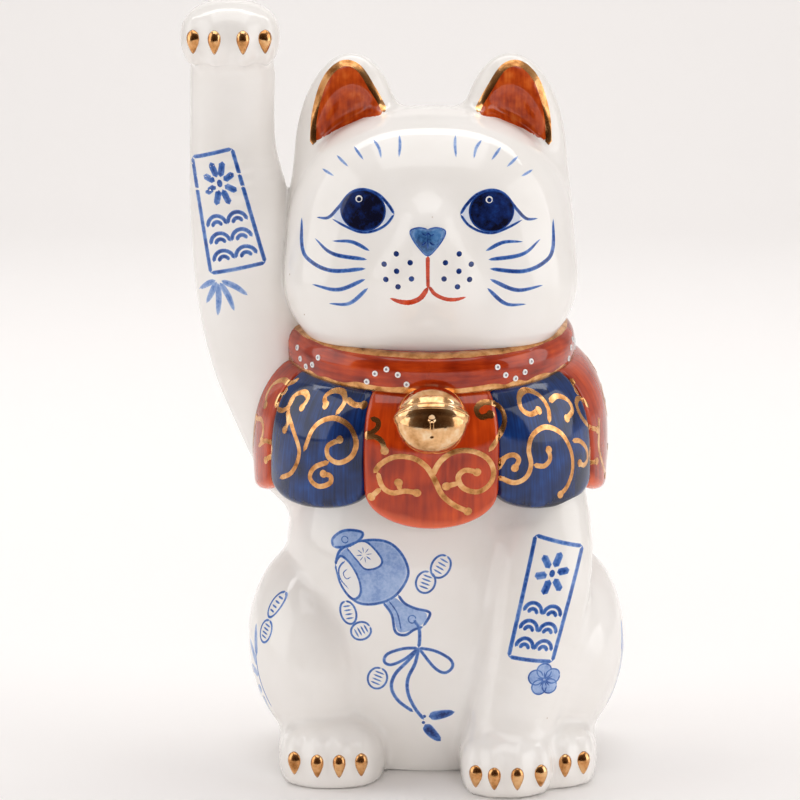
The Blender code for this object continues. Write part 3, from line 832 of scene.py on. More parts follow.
# ----------------------------------------
# Ear insides
# The scooped front is filled with iron red in slanting strokes, and a thick line of gold runs up
# one edge, over the tip and down the other.
# ----------------------------------------
EAR_RED = (
    *((35.4, 195.0), (34.6, 203.5), (31.8, 212.4), (27.1, 217.4), (22.5, 216.3)),
    *((18.3, 210.0), (14.7, 203.6), (20.5, 201.7), (27.5, 198.6)),
)
EAR_GILT = (
    *((35.9, 193.6), (35.2, 203.5), (32.1, 213.2), (27.2, 217.9), (22.2, 216.9)),
    *((17.8, 210.6), (14.0, 203.7)),
)
GILT_EDGE = 2.1
FILM_PATCH = 3.5  # millimetres across the thin and thick patches of the gold
EAR_RINGS = (0, 0.12, 0.24, 0.36, 0.48, 0.6, 0.72, 0.84, 0.94, 1)


def bright_gold(name, tones=("9C6534", "DDA066", "F3C690"), rough=(0.10, 0.28)):
    """Bright gold lustre, a film of real gold fired on the glaze: mirror-like but never even, with
    browner, duller patches where the film is thin."""
    finish, tree = new_finish(name)
    place = add_node(tree, "ShaderNodeTexCoord").outputs["Object"]
    film = {"Vector": place, "Scale": 1 / (FILM_PATCH * MM), "Detail": 3.0, "Roughness": 0.6}
    patches = add_node(tree, "ShaderNodeTexNoise", film).outputs["Fac"]
    stops = tuple(zip((0.28, 0.5, 0.72), tones))
    limits = {"Value": patches, "From Min": 0.3, "From Max": 0.7, "To Min": rough[1], "To Max": rough[0]}
    ripple = add_node(tree, "ShaderNodeBump", {"Height": patches, "Distance": 0.12 * MM, "Strength": 0.5})
    sockets = {
        "Base Color": add_node(tree, "ShaderNodeValToRGB", {"Fac": patches}, stops).outputs["Color"],
        "Metallic": 1.0,
        "Roughness": add_node(tree, "ShaderNodeMapRange", limits).outputs["Result"],
        "Normal": ripple.outputs["Normal"],
    }
    show(tree, sockets)
    return finish


gold = bright_gold("bright_gold_lustre")
ear_red = brushed_enamel(
    "iron_red_enamel_ear",
    ((0.3, "D9702E"), (0.45, "C24D18"), (0.6, "A4370F"), (0.76, "7F2307")),
    streak=(1.1, 7.0),
    pool=4.0,
)
for name, side in (("right_ear", -1), ("left_ear", 1)):
    inside = [wash(about(0, 0, EAR_RED, side), lift=0.22, load=1.0, rings=EAR_RINGS)]
    paint(name + "_red", front, inside, ear_red)
    edge = [stroke(about(0, 0, EAR_GILT, side), GILT_EDGE, lift=0.35, tip=(1.2, 1.2))]
    paint(name + "_gilt", front, edge, gold)

# ----------------------------------------
# Claws
# Small teardrops of clay sprigged onto the toes, points down, and gilded all over with the same
# bright gold as the ear edges.
# ----------------------------------------
CLAW_SIDE = ((1.5, 2.7), (2.0, 0.9), (1.45, -1.3))
CLAW_OUTLINE = ((0, 3.6), *CLAW_SIDE, (0, -3.7), *((-x, z) for x, z in reversed(CLAW_SIDE)))
CLAW_RINGS = (0, 0.3, 0.6, 0.85, 1)
for node in sorted(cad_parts):
    if "claw" in node:
        x, _, z = centre_of(node)
        shape = wash(about(x, z, CLAW_OUTLINE), lift=0.1, dome=0.85, rings=CLAW_RINGS)
        paint(node + "_gilt", front, [shape], gold, [node], flush=False)

# ----------------------------------------
# Collar
# A band of clay round the neck, hanging lower in front. It is brushed with iron red, edged with
# gold above and below, and dotted with white enamel in sprays of five.
# ----------------------------------------
COLLAR_MIDDLE = np.array((0, -4, 131.5))
COLLAR_RADII = (38.4, 39.4)
COLLAR_HALF_THICK = 6.4
COLLAR_HALF_HIGH = 7.3
COLLAR_POWER = 2.8
COLLAR_RADIUS = 45.0  # to the band's outside, for measuring along it
COLLAR_LEAN = 7  # degrees, lower in front
COLLAR_TURN = rotation(COLLAR_LEAN, 0, 0)


def collar_point(angle, out, up):
    """A point of the band: angle from the front, and out and up from the band's middle."""
    across = (COLLAR_RADII[0] + out) * np.sin(angle)
    back = -(COLLAR_RADII[1] + out) * np.cos(angle)
    return np.stack([across, back, up], -1) @ COLLAR_TURN.T + COLLAR_MIDDLE


def canvas_on(surface):
    """A canvas for a surface given as a function of (u, v): places and outward directions."""

    def canvas(uv):
        u, v = uv[:, 0], uv[:, 1]
        reach = 0.05
        along = surface(u + reach, v) - surface(u - reach, v)
        up = surface(u, v + reach) - surface(u, v - reach)
        outward = np.cross(along, up)
        place = surface(u, v)
        flat = np.linalg.norm(outward, axis=1) < 1e-9  # past the surface's edge, where it has no slope
        outward[flat] = place[flat] * (1, 1, 0)
        return place, outward / np.linalg.norm(outward, axis=1, keepdims=True)

    return canvas


section_turn = np.linspace(-math.pi / 2, math.pi / 2, 361)
squared = 2 / COLLAR_POWER
section_out = COLLAR_HALF_THICK * np.cos(section_turn) ** squared
section_up = COLLAR_HALF_HIGH * np.sign(section_turn) * np.abs(np.sin(section_turn)) ** squared
girth = np.concatenate([[0], np.hypot(np.diff(section_out), np.diff(section_up)).cumsum()])
girth -= girth[-1] / 2


def collar_drawing(s, around):
    """A point of the band's outside, from lengths along it and up round its section."""
    out, up = np.interp(around, girth, section_out), np.interp(around, girth, section_up)
    return collar_point(s / COLLAR_RADIUS, out, up)


collar_canvas = canvas_on(collar_drawing)
iron_red = brushed_enamel(
    "iron_red_enamel",
    ((0.3, "D05018"), (0.44, "B73C10"), (0.56, "9A2B0A"), (0.72, "6E1805")),
    streak=(12.0, 1.4),
    pool=9.0,
)
AROUND, SECTION = 160, 24
angles = np.repeat(2 * math.pi * np.arange(AROUND) / AROUND, SECTION)
section = np.tile(2 * math.pi * np.arange(SECTION) / SECTION, AROUND)
out = COLLAR_HALF_THICK * np.sign(np.cos(section)) * np.abs(np.cos(section)) ** squared
up = COLLAR_HALF_HIGH * np.sign(np.sin(section)) * np.abs(np.sin(section)) ** squared
grid = np.arange(AROUND * SECTION).reshape(AROUND, SECTION)
ahead, above = np.roll(grid, -1, 0), np.roll(grid, -1, 1)
band = np.stack([grid, ahead, np.roll(ahead, -1, 1), above], -1).reshape(-1, 4)
marks = np.stack([angles * COLLAR_RADIUS, up, 0 * up], 1)
points = collar_point(angles, out, up)
make_piece("collar_band", points, band, iron_red, ["collar"], marks=marks)

COLLAR_TURN_LENGTH = 2 * math.pi * COLLAR_RADIUS
wobble = np.random.default_rng(7)


def trim_line(height, width, uneven):
    """A gold line right round the collar, as unsteady as a hand is."""
    count = 72
    line = []
    for i in range(count + 1):
        drift = uneven * (wobble.random() - 0.5) if 0 < i < count else 0
        line.append((COLLAR_TURN_LENGTH * (i / count - 0.5), height + drift, 1 + drift))
    return stroke(line, width, lift=0.15, tip=(0, 0))


trims = [trim_line(9.2, 4.2, 0.25), trim_line(-3.3, 2.0, 0.5)]
paint("collar_gold_lines", collar_canvas, trims, gold)

SPRAY = ((-6.3, 2.2), (-3.6, -0.6), (0, -2.2), (3.6, -0.8), (6.3, 2.0))
DOT = 0.9
SPRAY_PITCH = 35.0
dots = []
for k, middle in enumerate((-45.5, -13.8, 27.0, *(27.0 + SPRAY_PITCH * i for i in range(1, 6)))):
    way = -1 if k % 2 else 1
    for x, z in SPRAY:
        place = (middle + x, way * z + 0.9)
        dots.append(wash(disc(*place, DOT), lift=0.26, load=0.0))
        dots.append(wash(disc(*place, DOT * 0.45), lift=0.29, load=1.0))
paint("collar_dots", collar_canvas, dots, enamel_white)

# ----------------------------------------
# Bib
# Eight cushion-shaped lappets modelled on the shoulders, iron red and cobalt in turn. The blue is
# brushed downwards and pools almost black at the hem; the red thins to orange there.
# ----------------------------------------
BIB_LAPPETS = 8
BIB_TOP = -3.0
BIB_NOTCH = 91.5
BIB_DROP = 6.3
BIB_FRONT_DROP = 10.3
BIB_CENTRE_Y = -1.0
BIB_TOP_RADII = (43.5, 43.5)
BIB_BOTTOM_RADII = (53.5, 50.5)
BIB_BELLY = 7.0
BIB_BELLY_RISE = 0.6
BIB_CROWN = 1.3
BIB_RADIUS = 50.0
SEAM_LEAN = 0.2  # how much the side seams draw together at the top, in radians
BIB_DEPTH = 7.0
HEM_ROUND = 3.0
SEAM_ROUND = 1.6
SEAM_SINK = 0.9


def bib_hem(angle):
    turns = angle * BIB_LAPPETS / math.pi / 2 + 0.5
    share = turns % 1 * 2 - 1
    drop = np.where(np.floor(turns) % BIB_LAPPETS == 0, BIB_FRONT_DROP, BIB_DROP)
    return BIB_NOTCH - drop * np.sqrt(np.maximum(0, 1 - share**2)), share


def bib_top(angle):
    drop = COLLAR_RADII[1] * math.sin(math.radians(COLLAR_LEAN))
    return COLLAR_MIDDLE[2] + BIB_TOP - drop * np.cos(angle)


def bib_surface(angle, down, inset=0.0):
    """A point of the bib: down runs 0 to 1 from the collar to the hem."""
    hem, share = bib_hem(angle)
    top = bib_top(angle)
    z = top + (hem - top) * down
    rise = np.clip(down, 0, 1) ** BIB_BELLY_RISE
    swell = BIB_BELLY * np.sin(math.pi * rise) + BIB_CROWN * (1 - share**2) * down
    from_hem = np.clip(1 - (top - hem) * (1 - down) / HEM_ROUND, 0, 1)
    from_seam = np.clip(1 - (1 - np.abs(share)) * BIB_RADIUS * math.pi / BIB_LAPPETS / SEAM_ROUND, 0, 1)
    sink = HEM_ROUND * (1 - np.sqrt(1 - from_hem**2)) + SEAM_SINK * from_seam**2 + inset
    angle = angle - SEAM_LEAN * (1 - down) * np.sin(angle) ** 3
    wide = BIB_TOP_RADII[0] + (BIB_BOTTOM_RADII[0] - BIB_TOP_RADII[0]) * down + swell - sink
    deep = BIB_TOP_RADII[1] + (BIB_BOTTOM_RADII[1] - BIB_TOP_RADII[1]) * down + swell - sink
    return np.stack([wide * np.sin(angle), BIB_CENTRE_Y - deep * np.cos(angle), z], -1)


def bib_drawing(s, z):
    angle = s / BIB_RADIUS
    top = bib_top(angle)
    return bib_surface(angle, np.clip((top - z) / (top - bib_hem(angle)[0]), 0, 0.995))


bib_canvas = canvas_on(bib_drawing)
iron_red_bib = brushed_enamel(
    "iron_red_enamel_bib",
    ((0.3, "D04C12"), (0.45, "B83B0C"), (0.58, "9B2B07"), (0.74, "701804")),
    streak=(1.6, 14.0),
    pool=11.0,
    hem=("E4683F", 0.10, 0.96, 1.03),
)
cobalt_bib = brushed_enamel(
    "cobalt_bib",
    ((0.32, "13458C"), (0.45, "0C2F69"), (0.57, "061F4B"), (0.72, "030F29")),
    streak=(0.7, 16.0),
    pool=9.0,
    hem=("0A1230", 0.5, 1.16, 1.28),
)
ACROSS_COUNT, DOWN_COUNT = 32, 30
HEM_CROWD = 0.6  # how far the rows crowd towards the hem, where it rounds over
BIB_PLACES = ("front", "front_left", "left", "back_left", "back", "back_right", "right", "front_right")
HEM_MARK = 40  # millimetres of brush run from the collar to a hem
for index, place in enumerate(BIB_PLACES):
    middle = 2 * math.pi * index / BIB_LAPPETS
    half = math.pi / BIB_LAPPETS * 0.998
    row = np.sin(np.linspace(-1, 1, ACROSS_COUNT + 1) * math.pi / 2) * half + middle
    share_down = np.linspace(0, 1, DOWN_COUNT + 1)
    share_down = share_down * (1 - HEM_CROWD) + HEM_CROWD * np.sin(share_down * math.pi / 2)
    angle, down = (axis.ravel() for axis in np.meshgrid(row, share_down))
    outer = bib_surface(angle, down)
    inner = bib_surface(angle, np.minimum(down, 0.97), BIB_DEPTH)
    wide, tall = ACROSS_COUNT + 1, DOWN_COUNT + 1
    grid = np.arange(wide * tall).reshape(tall, wide)
    quads = np.stack([grid[:-1, :-1], grid[1:, :-1], grid[1:, 1:], grid[:-1, 1:]], -1).reshape(-1, 4)
    rim = np.concatenate([grid[0], grid[1:, -1], grid[-1, -2::-1], grid[-2:0:-1, 0]])
    count = wide * tall
    next_rim = np.roll(rim, -1)
    sides = np.stack([rim, next_rim, next_rim + count, rim + count], 1)
    faces = np.vstack([quads, quads[:, ::-1] + count, sides])
    marks = np.stack([angle * BIB_RADIUS, down * HEM_MARK, down], 1)
    colour, finish = (("red", iron_red_bib), ("blue", cobalt_bib))[index % 2]
    node = "bib_" + place + "_" + colour
    points, marks = np.vstack([outer, inner]), np.vstack([marks, marks])
    make_piece(node + "_lappet", points, faces, finish, [node], marks=marks)

# ----------------------------------------
# Gold scrolls on the bib
# Running arabesques in liquid gold, drawn with one width of brush. Each volute winds in to a bead,
# and stems carry the line from lappet to lappet.
# ----------------------------------------
SCROLL_WIDTH = 1.7
SCROLL_LIFT = 0.1
BEAD = 1.25
BACK_PITCH = 33.6  # from one group of volutes to the next, round the back


def volute(s, z, radius, start, sweep, tight=0.42):
    """A spiral about (s, z) from an angle in degrees, turning by sweep and closing to its bead."""
    count = max(6, round(abs(sweep) / 24))
    line = []
    for i in range(count + 1):
        t = i / count
        a = math.radians(start + sweep * t)
        r = radius * (1 + (tight - 1) * t**1.3)
        line.append((s + r * math.cos(a), z + r * math.sin(a)))
    bead = disc(*line[-1], BEAD)
    return [stroke(line, SCROLL_WIDTH, lift=SCROLL_LIFT, tip=(1, 0.5)), wash(bead, lift=SCROLL_LIFT + 0.05)]


def curl(*points):
    """A line led by the given points, eased as a wrist would, that ends in a bead."""
    way = np.array(points, float)
    way[1:-1] = 0.64 * way[1:-1] + 0.18 * (way[:-2] + way[2:])
    line = stroke(way, SCROLL_WIDTH, lift=SCROLL_LIFT, tip=(1.5, 0.5))
    return [line, wash(disc(*points[-1], BEAD), lift=SCROLL_LIFT + 0.05)]


CURLS = (
    (
        *((-40, 103), (-38, 112), (-31, 115), (-24, 113), (-21, 108)),
        *((-22, 103), (-27, 100), (-31, 102), (-32, 106), (-27, 108)),
    ),
    (
        *((-51, 93), (-44, 95), (-40, 103), (-47, 110), (-52, 114)),
        *((-53, 119), (-48, 121), (-43, 119), (-45, 116)),
    ),
    ((-30, 101), (-36, 99), (-38, 95), (-34, 92), (-29, 94), (-29, 97), (-32, 97)),
    ((-30, 115), (-27, 119), (-30, 122), (-35, 122), (-38, 120), (-35, 117.5)),
    ((-28, 120), (-24, 118), (-21, 118.5)),
    ((-18, 115), (-15, 114.5), (-15, 112), (-18, 110)),
    ((-19.5, 109), (-16, 110), (-13.5, 108.5), (-13, 105.5)),
    (
        *((-16, 98.5), (-14.5, 101.5), (-10, 104.5), (-4.5, 104), (-1, 101)),
        *((1, 97), (2.5, 92), (6, 89), (10, 87)),
    ),
    ((-15, 99), (-14, 94), (-11, 92), (-7, 94), (-4, 93)),
    ((-14, 94), (-17, 91)),
    ((-8.5, 93.5), (-9, 96)),
    (
        *((0, 98), (2, 103), (6, 106), (11, 106), (16, 103.5), (18, 99)),
        *((17, 95), (13, 92), (8, 94), (6.5, 98), (9, 100.5), (12.5, 99)),
    ),
    ((7.5, 96), (4, 95)),
    ((16, 105), (20, 110), (22.5, 115), (21, 119), (16, 120), (12.5, 118), (14, 114.5), (17.5, 116)),
    (
        *((19, 97), (24, 94), (28, 96), (30, 100), (28, 105), (30, 109.5)),
        *((36, 112), (43, 109), (46.5, 102), (46.5, 96), (43, 91), (40, 89.5)),
    ),
    ((30, 100), (34, 98.5), (37, 101), (36, 104)),
    ((19, 99), (20.5, 103.5), (24, 104), (26, 102), (24, 99.5)),
    (
        *((38, 112), (40, 116.5), (38.5, 120.5), (34, 122.5)),
        *((29, 121), (27.5, 117), (31, 114.5), (35, 116)),
    ),
    ((41, 118), (46, 120), (51.5, 118), (51.5, 114), (46.5, 112.5)),
    ((61, 114), (60, 117), (56, 118), (53.5, 116), (54, 112), (58, 108), (64, 106.5)),
    ((67, 110), (65.5, 106), (63.5, 101), (66.5, 96), (73, 90)),
    ((47, 105.5), (51, 105.5), (55.5, 102), (56, 98), (52.5, 96.3), (50, 98)),
    ((58.5, 103), (56.5, 99.5), (58.5, 96), (62.5, 96.5)),
    ((61, 123), (57.5, 121.5), (58, 119.5)),
    ((-55, 123.5), (-58, 121), (-63, 123), (-68.5, 121.5), (-70, 117), (-67, 114)),
    ((-51.5, 119.5), (-51, 116), (-54, 113.5), (-59, 114), (-61.5, 117), (-58, 119.5)),
    ((-73, 108.5), (-68, 110), (-64, 107.5), (-65, 103)),
    ((-68, 100.5), (-62, 104), (-57, 103), (-57.5, 99), (-61.5, 97)),
    ((-52, 114.5), (-49, 111), (-50.5, 108.5)),
)
scrolls = []
for line in CURLS:
    scrolls += curl(*line)
for k in range(5):
    s = 84.0 + k * BACK_PITCH
    flip = -1 if k % 2 else 1
    scrolls += volute(s, 112.0, 6.2, 90 - 90 * flip, 360 * flip)
    scrolls += volute(s + 11.5, 98.5, 7.0, 90 + 90 * flip, -400 * flip)
    scrolls += volute(s + 16.5, 116.0, 4.8, 250, 290 * flip)
    scrolls += volute(s - 2.5, 97.0, 4.6, 70, -290 * flip)
    scrolls += volute(s + 7.5, 122.5, 3.4, 200, -280 * flip)
    scrolls += curl((s + 6, 110), (s + 8.5, 105), (s + 9.5, 99), (s + 6, 92))
    scrolls += curl((s + 18, 98), (s + 21.5, 103), (s + 22, 109))
paint("bib_gold_scrolls", bib_canvas, scrolls, gold)

# ----------------------------------------
# Bell
# A round bell modelled on the front lappet in two halves: a crown, and a bowl with a round hole
# and a slot below it. Both are gilded all over, and a raised waist runs between them.
# ----------------------------------------
BELL_MIDDLE = np.array((0, -54.5, 115.0))
BELL_HALF = np.array((11.0, 8.8, 10.4))
BELL_TURN = rotation(-34, 0, 0)
WAIST_HALF = 0.9
WAIST_PROUD = 0.55
HOLE_DROP = 3.4
HOLE_RADIUS = 0.85
SLOT_HALF = 0.3
SLOT_HALF_LONG = 1.9
SLOT_MIDDLE = -6.0
DENT_EDGE = 0.7
DENT_DEEP = 0.9
BELL_AROUND, BELL_TALL = 128, 48


def bell_half(sign):
    """The upper (+1) or lower (-1) half of the bell, closed by a flat disc at the waist."""
    rise = np.linspace(0, math.pi / 2, BELL_TALL + 1)[:-1]
    turn = 2 * math.pi * np.arange(BELL_AROUND) / BELL_AROUND
    rows = []
    for a in rise:
        height = np.full(BELL_AROUND, sign * max(math.sin(a), 0.012))
        ring = [math.cos(a) * np.sin(turn), -math.cos(a) * np.cos(turn), height]
        rows.append(np.stack(ring, 1) * BELL_HALF)
    points = np.vstack(rows)
    proud = np.clip(1 - np.abs(points[:, 2]) / (2 * WAIST_HALF), 0, 1)
    points[:, :2] *= 1 + (WAIST_PROUD / BELL_HALF[0] * np.sqrt(proud))[:, None]
    if sign < 0:
        across, up = points[:, 0], points[:, 2]
        hole = np.hypot(across, up + HOLE_DROP) - HOLE_RADIUS
        slot = np.maximum(np.abs(across) - SLOT_HALF, np.abs(up - SLOT_MIDDLE) - SLOT_HALF_LONG)
        dent = np.clip(DENT_EDGE / 2 - np.minimum(hole, slot), 0, DENT_EDGE) / DENT_EDGE
        points[:, 1] += DENT_DEEP * dent * (points[:, 1] < 0)
    pole, flat = len(points), len(points) + 1
    points = np.vstack([points, [[0, 0, sign * BELL_HALF[2]], [0, 0, sign * 0.1]]])
    grid = np.arange(pole).reshape(len(rise), BELL_AROUND)
    ahead = np.roll(grid, -1, 1)
    quads = np.stack([grid[:-1], ahead[:-1], ahead[1:], grid[1:]], -1).reshape(-1, 4).tolist()
    cap = [(a, b, pole) for a, b in zip(grid[-1], ahead[-1])]
    disc_faces = [(b, a, flat) for a, b in zip(grid[0], ahead[0])]
    faces = quads + cap + disc_faces
    if sign < 0:
        faces = [face[::-1] for face in faces]
    return points @ BELL_TURN.T + BELL_MIDDLE, faces


# Painted highlight: the same gold lustre, given paler cream tones for the bright reflections the bell
# catches.
bell_gold_painted_lighter = bright_gold("bright_gold_bell_painted_lighter", ("C08A55", "EDBB86", "FBDFB8"), rough=(0.07, 0.16))
for name, sign in (("bell_crown", 1), ("bell_bowl", -1)):
    points, faces = bell_half(sign)
    make_piece(name + "_gilt", points, faces, bell_gold_painted_lighter, [name])

# ----------------------------------------
# Cartouches and sprigs on the raised arm and the left foreleg
# Slanting frames in cobalt with a rosette above waves inside, a sprig of bamboo below the one on
# the arm, and a plum blossom below the one on the leg.
# ----------------------------------------
PEN = 1.5


def framed(corners, pen=PEN):
    """A frame through four corners from top left, clockwise, drawn in four strokes, and a way of
    placing things inside it: (x, y) from -1 to 1 across and up."""
    top_left, top_right, low_right, low_left = (np.array(c, float) for c in corners)

    def inside(x, y):
        top = top_left + (top_right - top_left) * (x + 1) / 2
        low = low_left + (low_right - low_left) * (x + 1) / 2
        return tuple(low + (top - low) * (y + 1) / 2)

    edge = (1.0, 1.0)
    sides = (((-1, 1), (1, 1)), ((1, 1), (1, -1)), ((1, -1), (-1, -1)), ((-1, -1), (-1, 1)))
    lines = []
    for (ax, ay), (bx, by) in sides:
        way = [inside(ax + (bx - ax) * t, ay + (by - ay) * t) for t in (0, 0.5, 1)]
        lines.append(stroke(way, pen, tip=edge, load=0.78))
    return lines, inside


def rosette(inside, x, y, wide, tall, petals, pen):
    lines = []
    for k in range(petals):
        a = 2 * math.pi * k / petals + 0.3
        way = [inside(x + wide * r * math.cos(a), y + tall * r * math.sin(a)) for r in (0.28, 0.65, 1.0)]
        lines.append(stroke(way, pen * 1.25, tip=(0.8, 0.8), load=0.8))
    eye = [inside(x + wide * u, y + tall * v) for u, v in disc(0, 0, 0.17, 7)]
    return lines + [wash(eye, load=0.75)]


def waves(inside, low, step, rows, pen):
    """Rows of wave crests, each two arcs one inside the other."""
    lines = []
    for row in range(rows):
        for middle in (-0.42, 0.42):
            for size in (0.4, 0.19):
                way = [
                    inside(middle + size * math.cos(a), low + row * step + size * step * 1.6 * math.sin(a))
                    for a in np.linspace(0.1, math.pi - 0.1, 6)
                ]
                lines.append(stroke(way, pen, tip=(0.8, 0.8), load=0.8))
    return lines


arm_frame, arm_inside = framed(((-72.9, 189.6), (-60.4, 192.8), (-50.6, 157.8), (-67.4, 154.2)))
arm_marks = arm_frame + rosette(arm_inside, 0.06, 0.48, 0.74, 0.4, 8, 1.9)
arm_marks += waves(arm_inside, -0.84, 0.3, 3, 1.5)
paint("arm_cartouche", front, arm_marks, cobalt)
SPRIG_KNOT = (-65.2, 152.6)
LEAVES = ((-71.4, 148.4), (-69.0, 144.4), (-65.4, 140.9), (-60.2, 142.8), (-56.0, 147.8))
bamboo = []
for x, z in LEAVES:
    start = (SPRIG_KNOT[0] + 0.12 * (x - SPRIG_KNOT[0]), SPRIG_KNOT[1] + 0.12 * (z - SPRIG_KNOT[1]))
    middle = ((start[0] + x) / 2 + 0.3, (start[1] + z) / 2 + 0.5)
    bamboo.append(stroke([start, middle, (x, z)], 2.3, tip=(2.5, 6), load=0.55))
paint("arm_bamboo", front, bamboo, cobalt)

leg_frame, leg_inside = framed(((31.6, 77.8), (46.0, 73.6), (36.6, 40.2), (23.4, 41.8)))
leg_marks = leg_frame + rosette(leg_inside, 0.0, 0.48, 0.72, 0.38, 6, 2.1)
leg_marks += waves(leg_inside, -0.84, 0.3, 3, 1.45)
paint("leg_cartouche", front, leg_marks, cobalt)
PLUM = (34.2, 34.8)
plum = []
for k in range(5):
    a = math.radians(90 + 72 * k)
    x, z = PLUM[0] + 2.7 * math.cos(a), PLUM[1] + 2.7 * math.sin(a)
    petal = disc(x, z, 2.25)
    plum.append(wash(petal, load=0.42))
    plum.append(stroke(petal + petal[:1], 0.6, lift=0.06, tip=(0, 0), load=0.8))
    plum.append(stroke([PLUM, (x, z)], 0.5, lift=0.08, tip=(0.4, 0.4), load=0.9))
paint("leg_plum_blossom", front, plum, cobalt)

# ----------------------------------------
# Lucky mallet and coins on the belly
# A pale wash with inked outlines: the barrel with its end face and its patch of cloth, a knob, a
# flared handle, and a cord tied in a bow that ends in two tassels. Oval coins lie around it.
# ----------------------------------------
INK = 1.05
BARREL = (
    *((-29.2, 66.4), (-27.3, 71.3), (-20.6, 74.4), (-13.6, 74.5), (-9.0, 71.0)),
    *((-6.9, 65.0), (-10.2, 58.8), (-15.5, 55.7), (-22.2, 55.4), (-27.0, 60.0)),
)
FACE_RIM = (
    *((-29.1, 66.3), (-27.6, 69.2), (-24.6, 67.2), (-21.9, 62.4)),
    *((-21.5, 58.0), (-24.0, 56.4), (-27.4, 60.5)),
)
PATCH = ((-25.6, 71.9), (-20.2, 74.3), (-15.2, 69.6), (-15.7, 66.9), (-19.8, 65.9), (-22.6, 68.6))
KNOB = (
    *((-29.8, 71.6), (-30.0, 74.0), (-27.6, 76.4), (-24.5, 77.3)),
    *((-20.8, 76.8), (-22.0, 74.4), (-26.0, 72.2)),
)
HANDLE = (
    *((-14.0, 56.4), (-11.0, 57.6), (-7.6, 55.2), (-1.2, 52.9)),
    *((-2.4, 49.2), (-7.9, 46.6), (-10.4, 47.4), (-11.6, 52.4)),
)
HANDLE_LEFT = ((-14.6, 56.0), (-11.9, 52.2), (-10.8, 46.9), (-7.9, 45.9), (-5.2, 47.6), (-2.4, 48.6))
HANDLE_RIGHT = ((-10.0, 58.4), (-8.0, 55.8), (-4.6, 54.2), (-0.8, 53.3), (-0.4, 51.9), (-2.4, 48.6))
FINE_RINGS = (0, 0.15, 0.3, 0.45, 0.6, 0.75, 0.9, 1)
belly_washes = [
    wash(BARREL, lift=0.05, load=0.4, rings=FINE_RINGS),
    wash(KNOB, load=0.38),
    wash(HANDLE, load=0.36),
]
belly_whites = [wash(FACE_RIM, lift=0.08, load=0.03, rings=FINE_RINGS), wash(PATCH, lift=0.08, load=0.03)]


def outlined(points, width=INK, load=0.78):
    return stroke(list(points) + [points[0]], width, lift=0.09, tip=(0.5, 0.5), load=load)


def inked(*points, width=INK, tip=(0.8, 0.8), load=0.78):
    return stroke(points, width, lift=0.09, tip=tip, load=load)


belly_lines = [outlined(shape) for shape in (BARREL, FACE_RIM, PATCH, KNOB)]
belly_lines += [inked(*HANDLE_LEFT), inked(*HANDLE_RIGHT)]
belly_lines.append(inked((-12.9, 56.6), (-10.2, 52.6), (-9.0, 47.2), width=0.6))
belly_lines.append(inked((-26.2, 68.0), (-28.0, 65.4), (-27.6, 62.2), (-25.0, 59.4), width=1.7, tip=(1, 5)))
swirl = ((-25.4, 65.6), (-26.7, 64.0), (-25.7, 62.4), (-24.3, 63.2))
belly_lines.append(inked(*swirl, width=1.0, tip=(0.6, 1.5)))
flower = np.array((-20.3, 70.2))
for k in range(8):
    a = 2 * math.pi * k / 8 + 0.2
    way = [tuple(flower + r * np.array((math.cos(a), math.sin(a)))) for r in (0.6, 2.5)]
    belly_lines.append(inked(*way, width=0.65))
belly_lines.append(outlined(disc(-26.2, 74.3, 1.0), 0.45))
belly_lines.append(outlined(disc(-5.7, 50.9, 1.2), 0.55))
BOW = (-3.7, 41.9)
belly_lines += [
    inked((-5.4, 50.8), (-3.7, 48.4), (-3.4, 45.0), BOW, width=1.3),
    inked(BOW, (-8.5, 41.6), (-13.2, 39.8), (-14.2, 37.4), (-12.2, 36.4), (-8.0, 38.3), BOW, width=1.15),
    inked(BOW, (1.2, 41.0), (5.8, 38.4), (6.6, 35.8), (4.2, 34.0), (0.9, 35.9), BOW, width=1.15),
    inked(BOW, (-6.8, 38.0), (-10.9, 33.4), (-12.0, 29.0), (-9.9, 24.8), (-5.3, 21.2), width=1.3),
    inked(BOW, (-4.8, 37.0), (-7.0, 32.0), (-6.9, 27.2), (-4.8, 22.4), (-2.0, 18.6), width=1.3),
    inked((-0.6, 19.6), (3.2, 20.3), (7.4, 21.2), width=3.5, tip=(2, 6), load=0.92),
    inked((-1.8, 17.0), (0.4, 14.0), (3.2, 11.2), width=3.7, tip=(2, 5), load=0.92),
]
belly_washes += [wash(disc(-1.9, 19.7, 0.55), load=0.85), wash(disc(-2.2, 17.6, 0.55), load=0.85)]
COINS = (
    (-25.2, 52.0, 3.6, 2.4, 105),
    (-21.3, 46.6, 3.2, 2.7, 30),
    (-1.6, 62.4, 3.4, 2.9, 70),
    (3.0, 67.2, 3.7, 2.8, 60),
    (-16.3, 31.9, 3.5, 2.9, 70),
)


def coin(u, v, long_half, short_half, tilt, pen=0.8):
    """A striped oval coin: an outline and short bars across it."""
    middle = np.array((u, v))
    turn = math.radians(tilt)
    long_way = long_half * np.array((math.cos(turn), math.sin(turn)))
    short_way = short_half * np.array((-math.sin(turn), math.cos(turn)))
    turns = 2 * math.pi * np.arange(10) / 10
    rim = [tuple(middle + math.cos(a) * long_way + math.sin(a) * short_way) for a in turns]
    lines = [outlined(rim, pen, 0.74)]
    for along in (-0.5, -0.15, 0.2, 0.55):
        bar = middle + along * long_way
        ends = (tuple(bar - 0.55 * short_way), tuple(bar + 0.55 * short_way))
        lines.append(inked(*ends, width=0.65, load=0.7))
    return lines


for place in COINS:
    belly_lines += coin(*place)
paint("belly_washes", front, belly_washes, cobalt)
paint("belly_white_patches", front, belly_whites, cobalt)
paint("belly_ink_lines", front, belly_lines, cobalt)

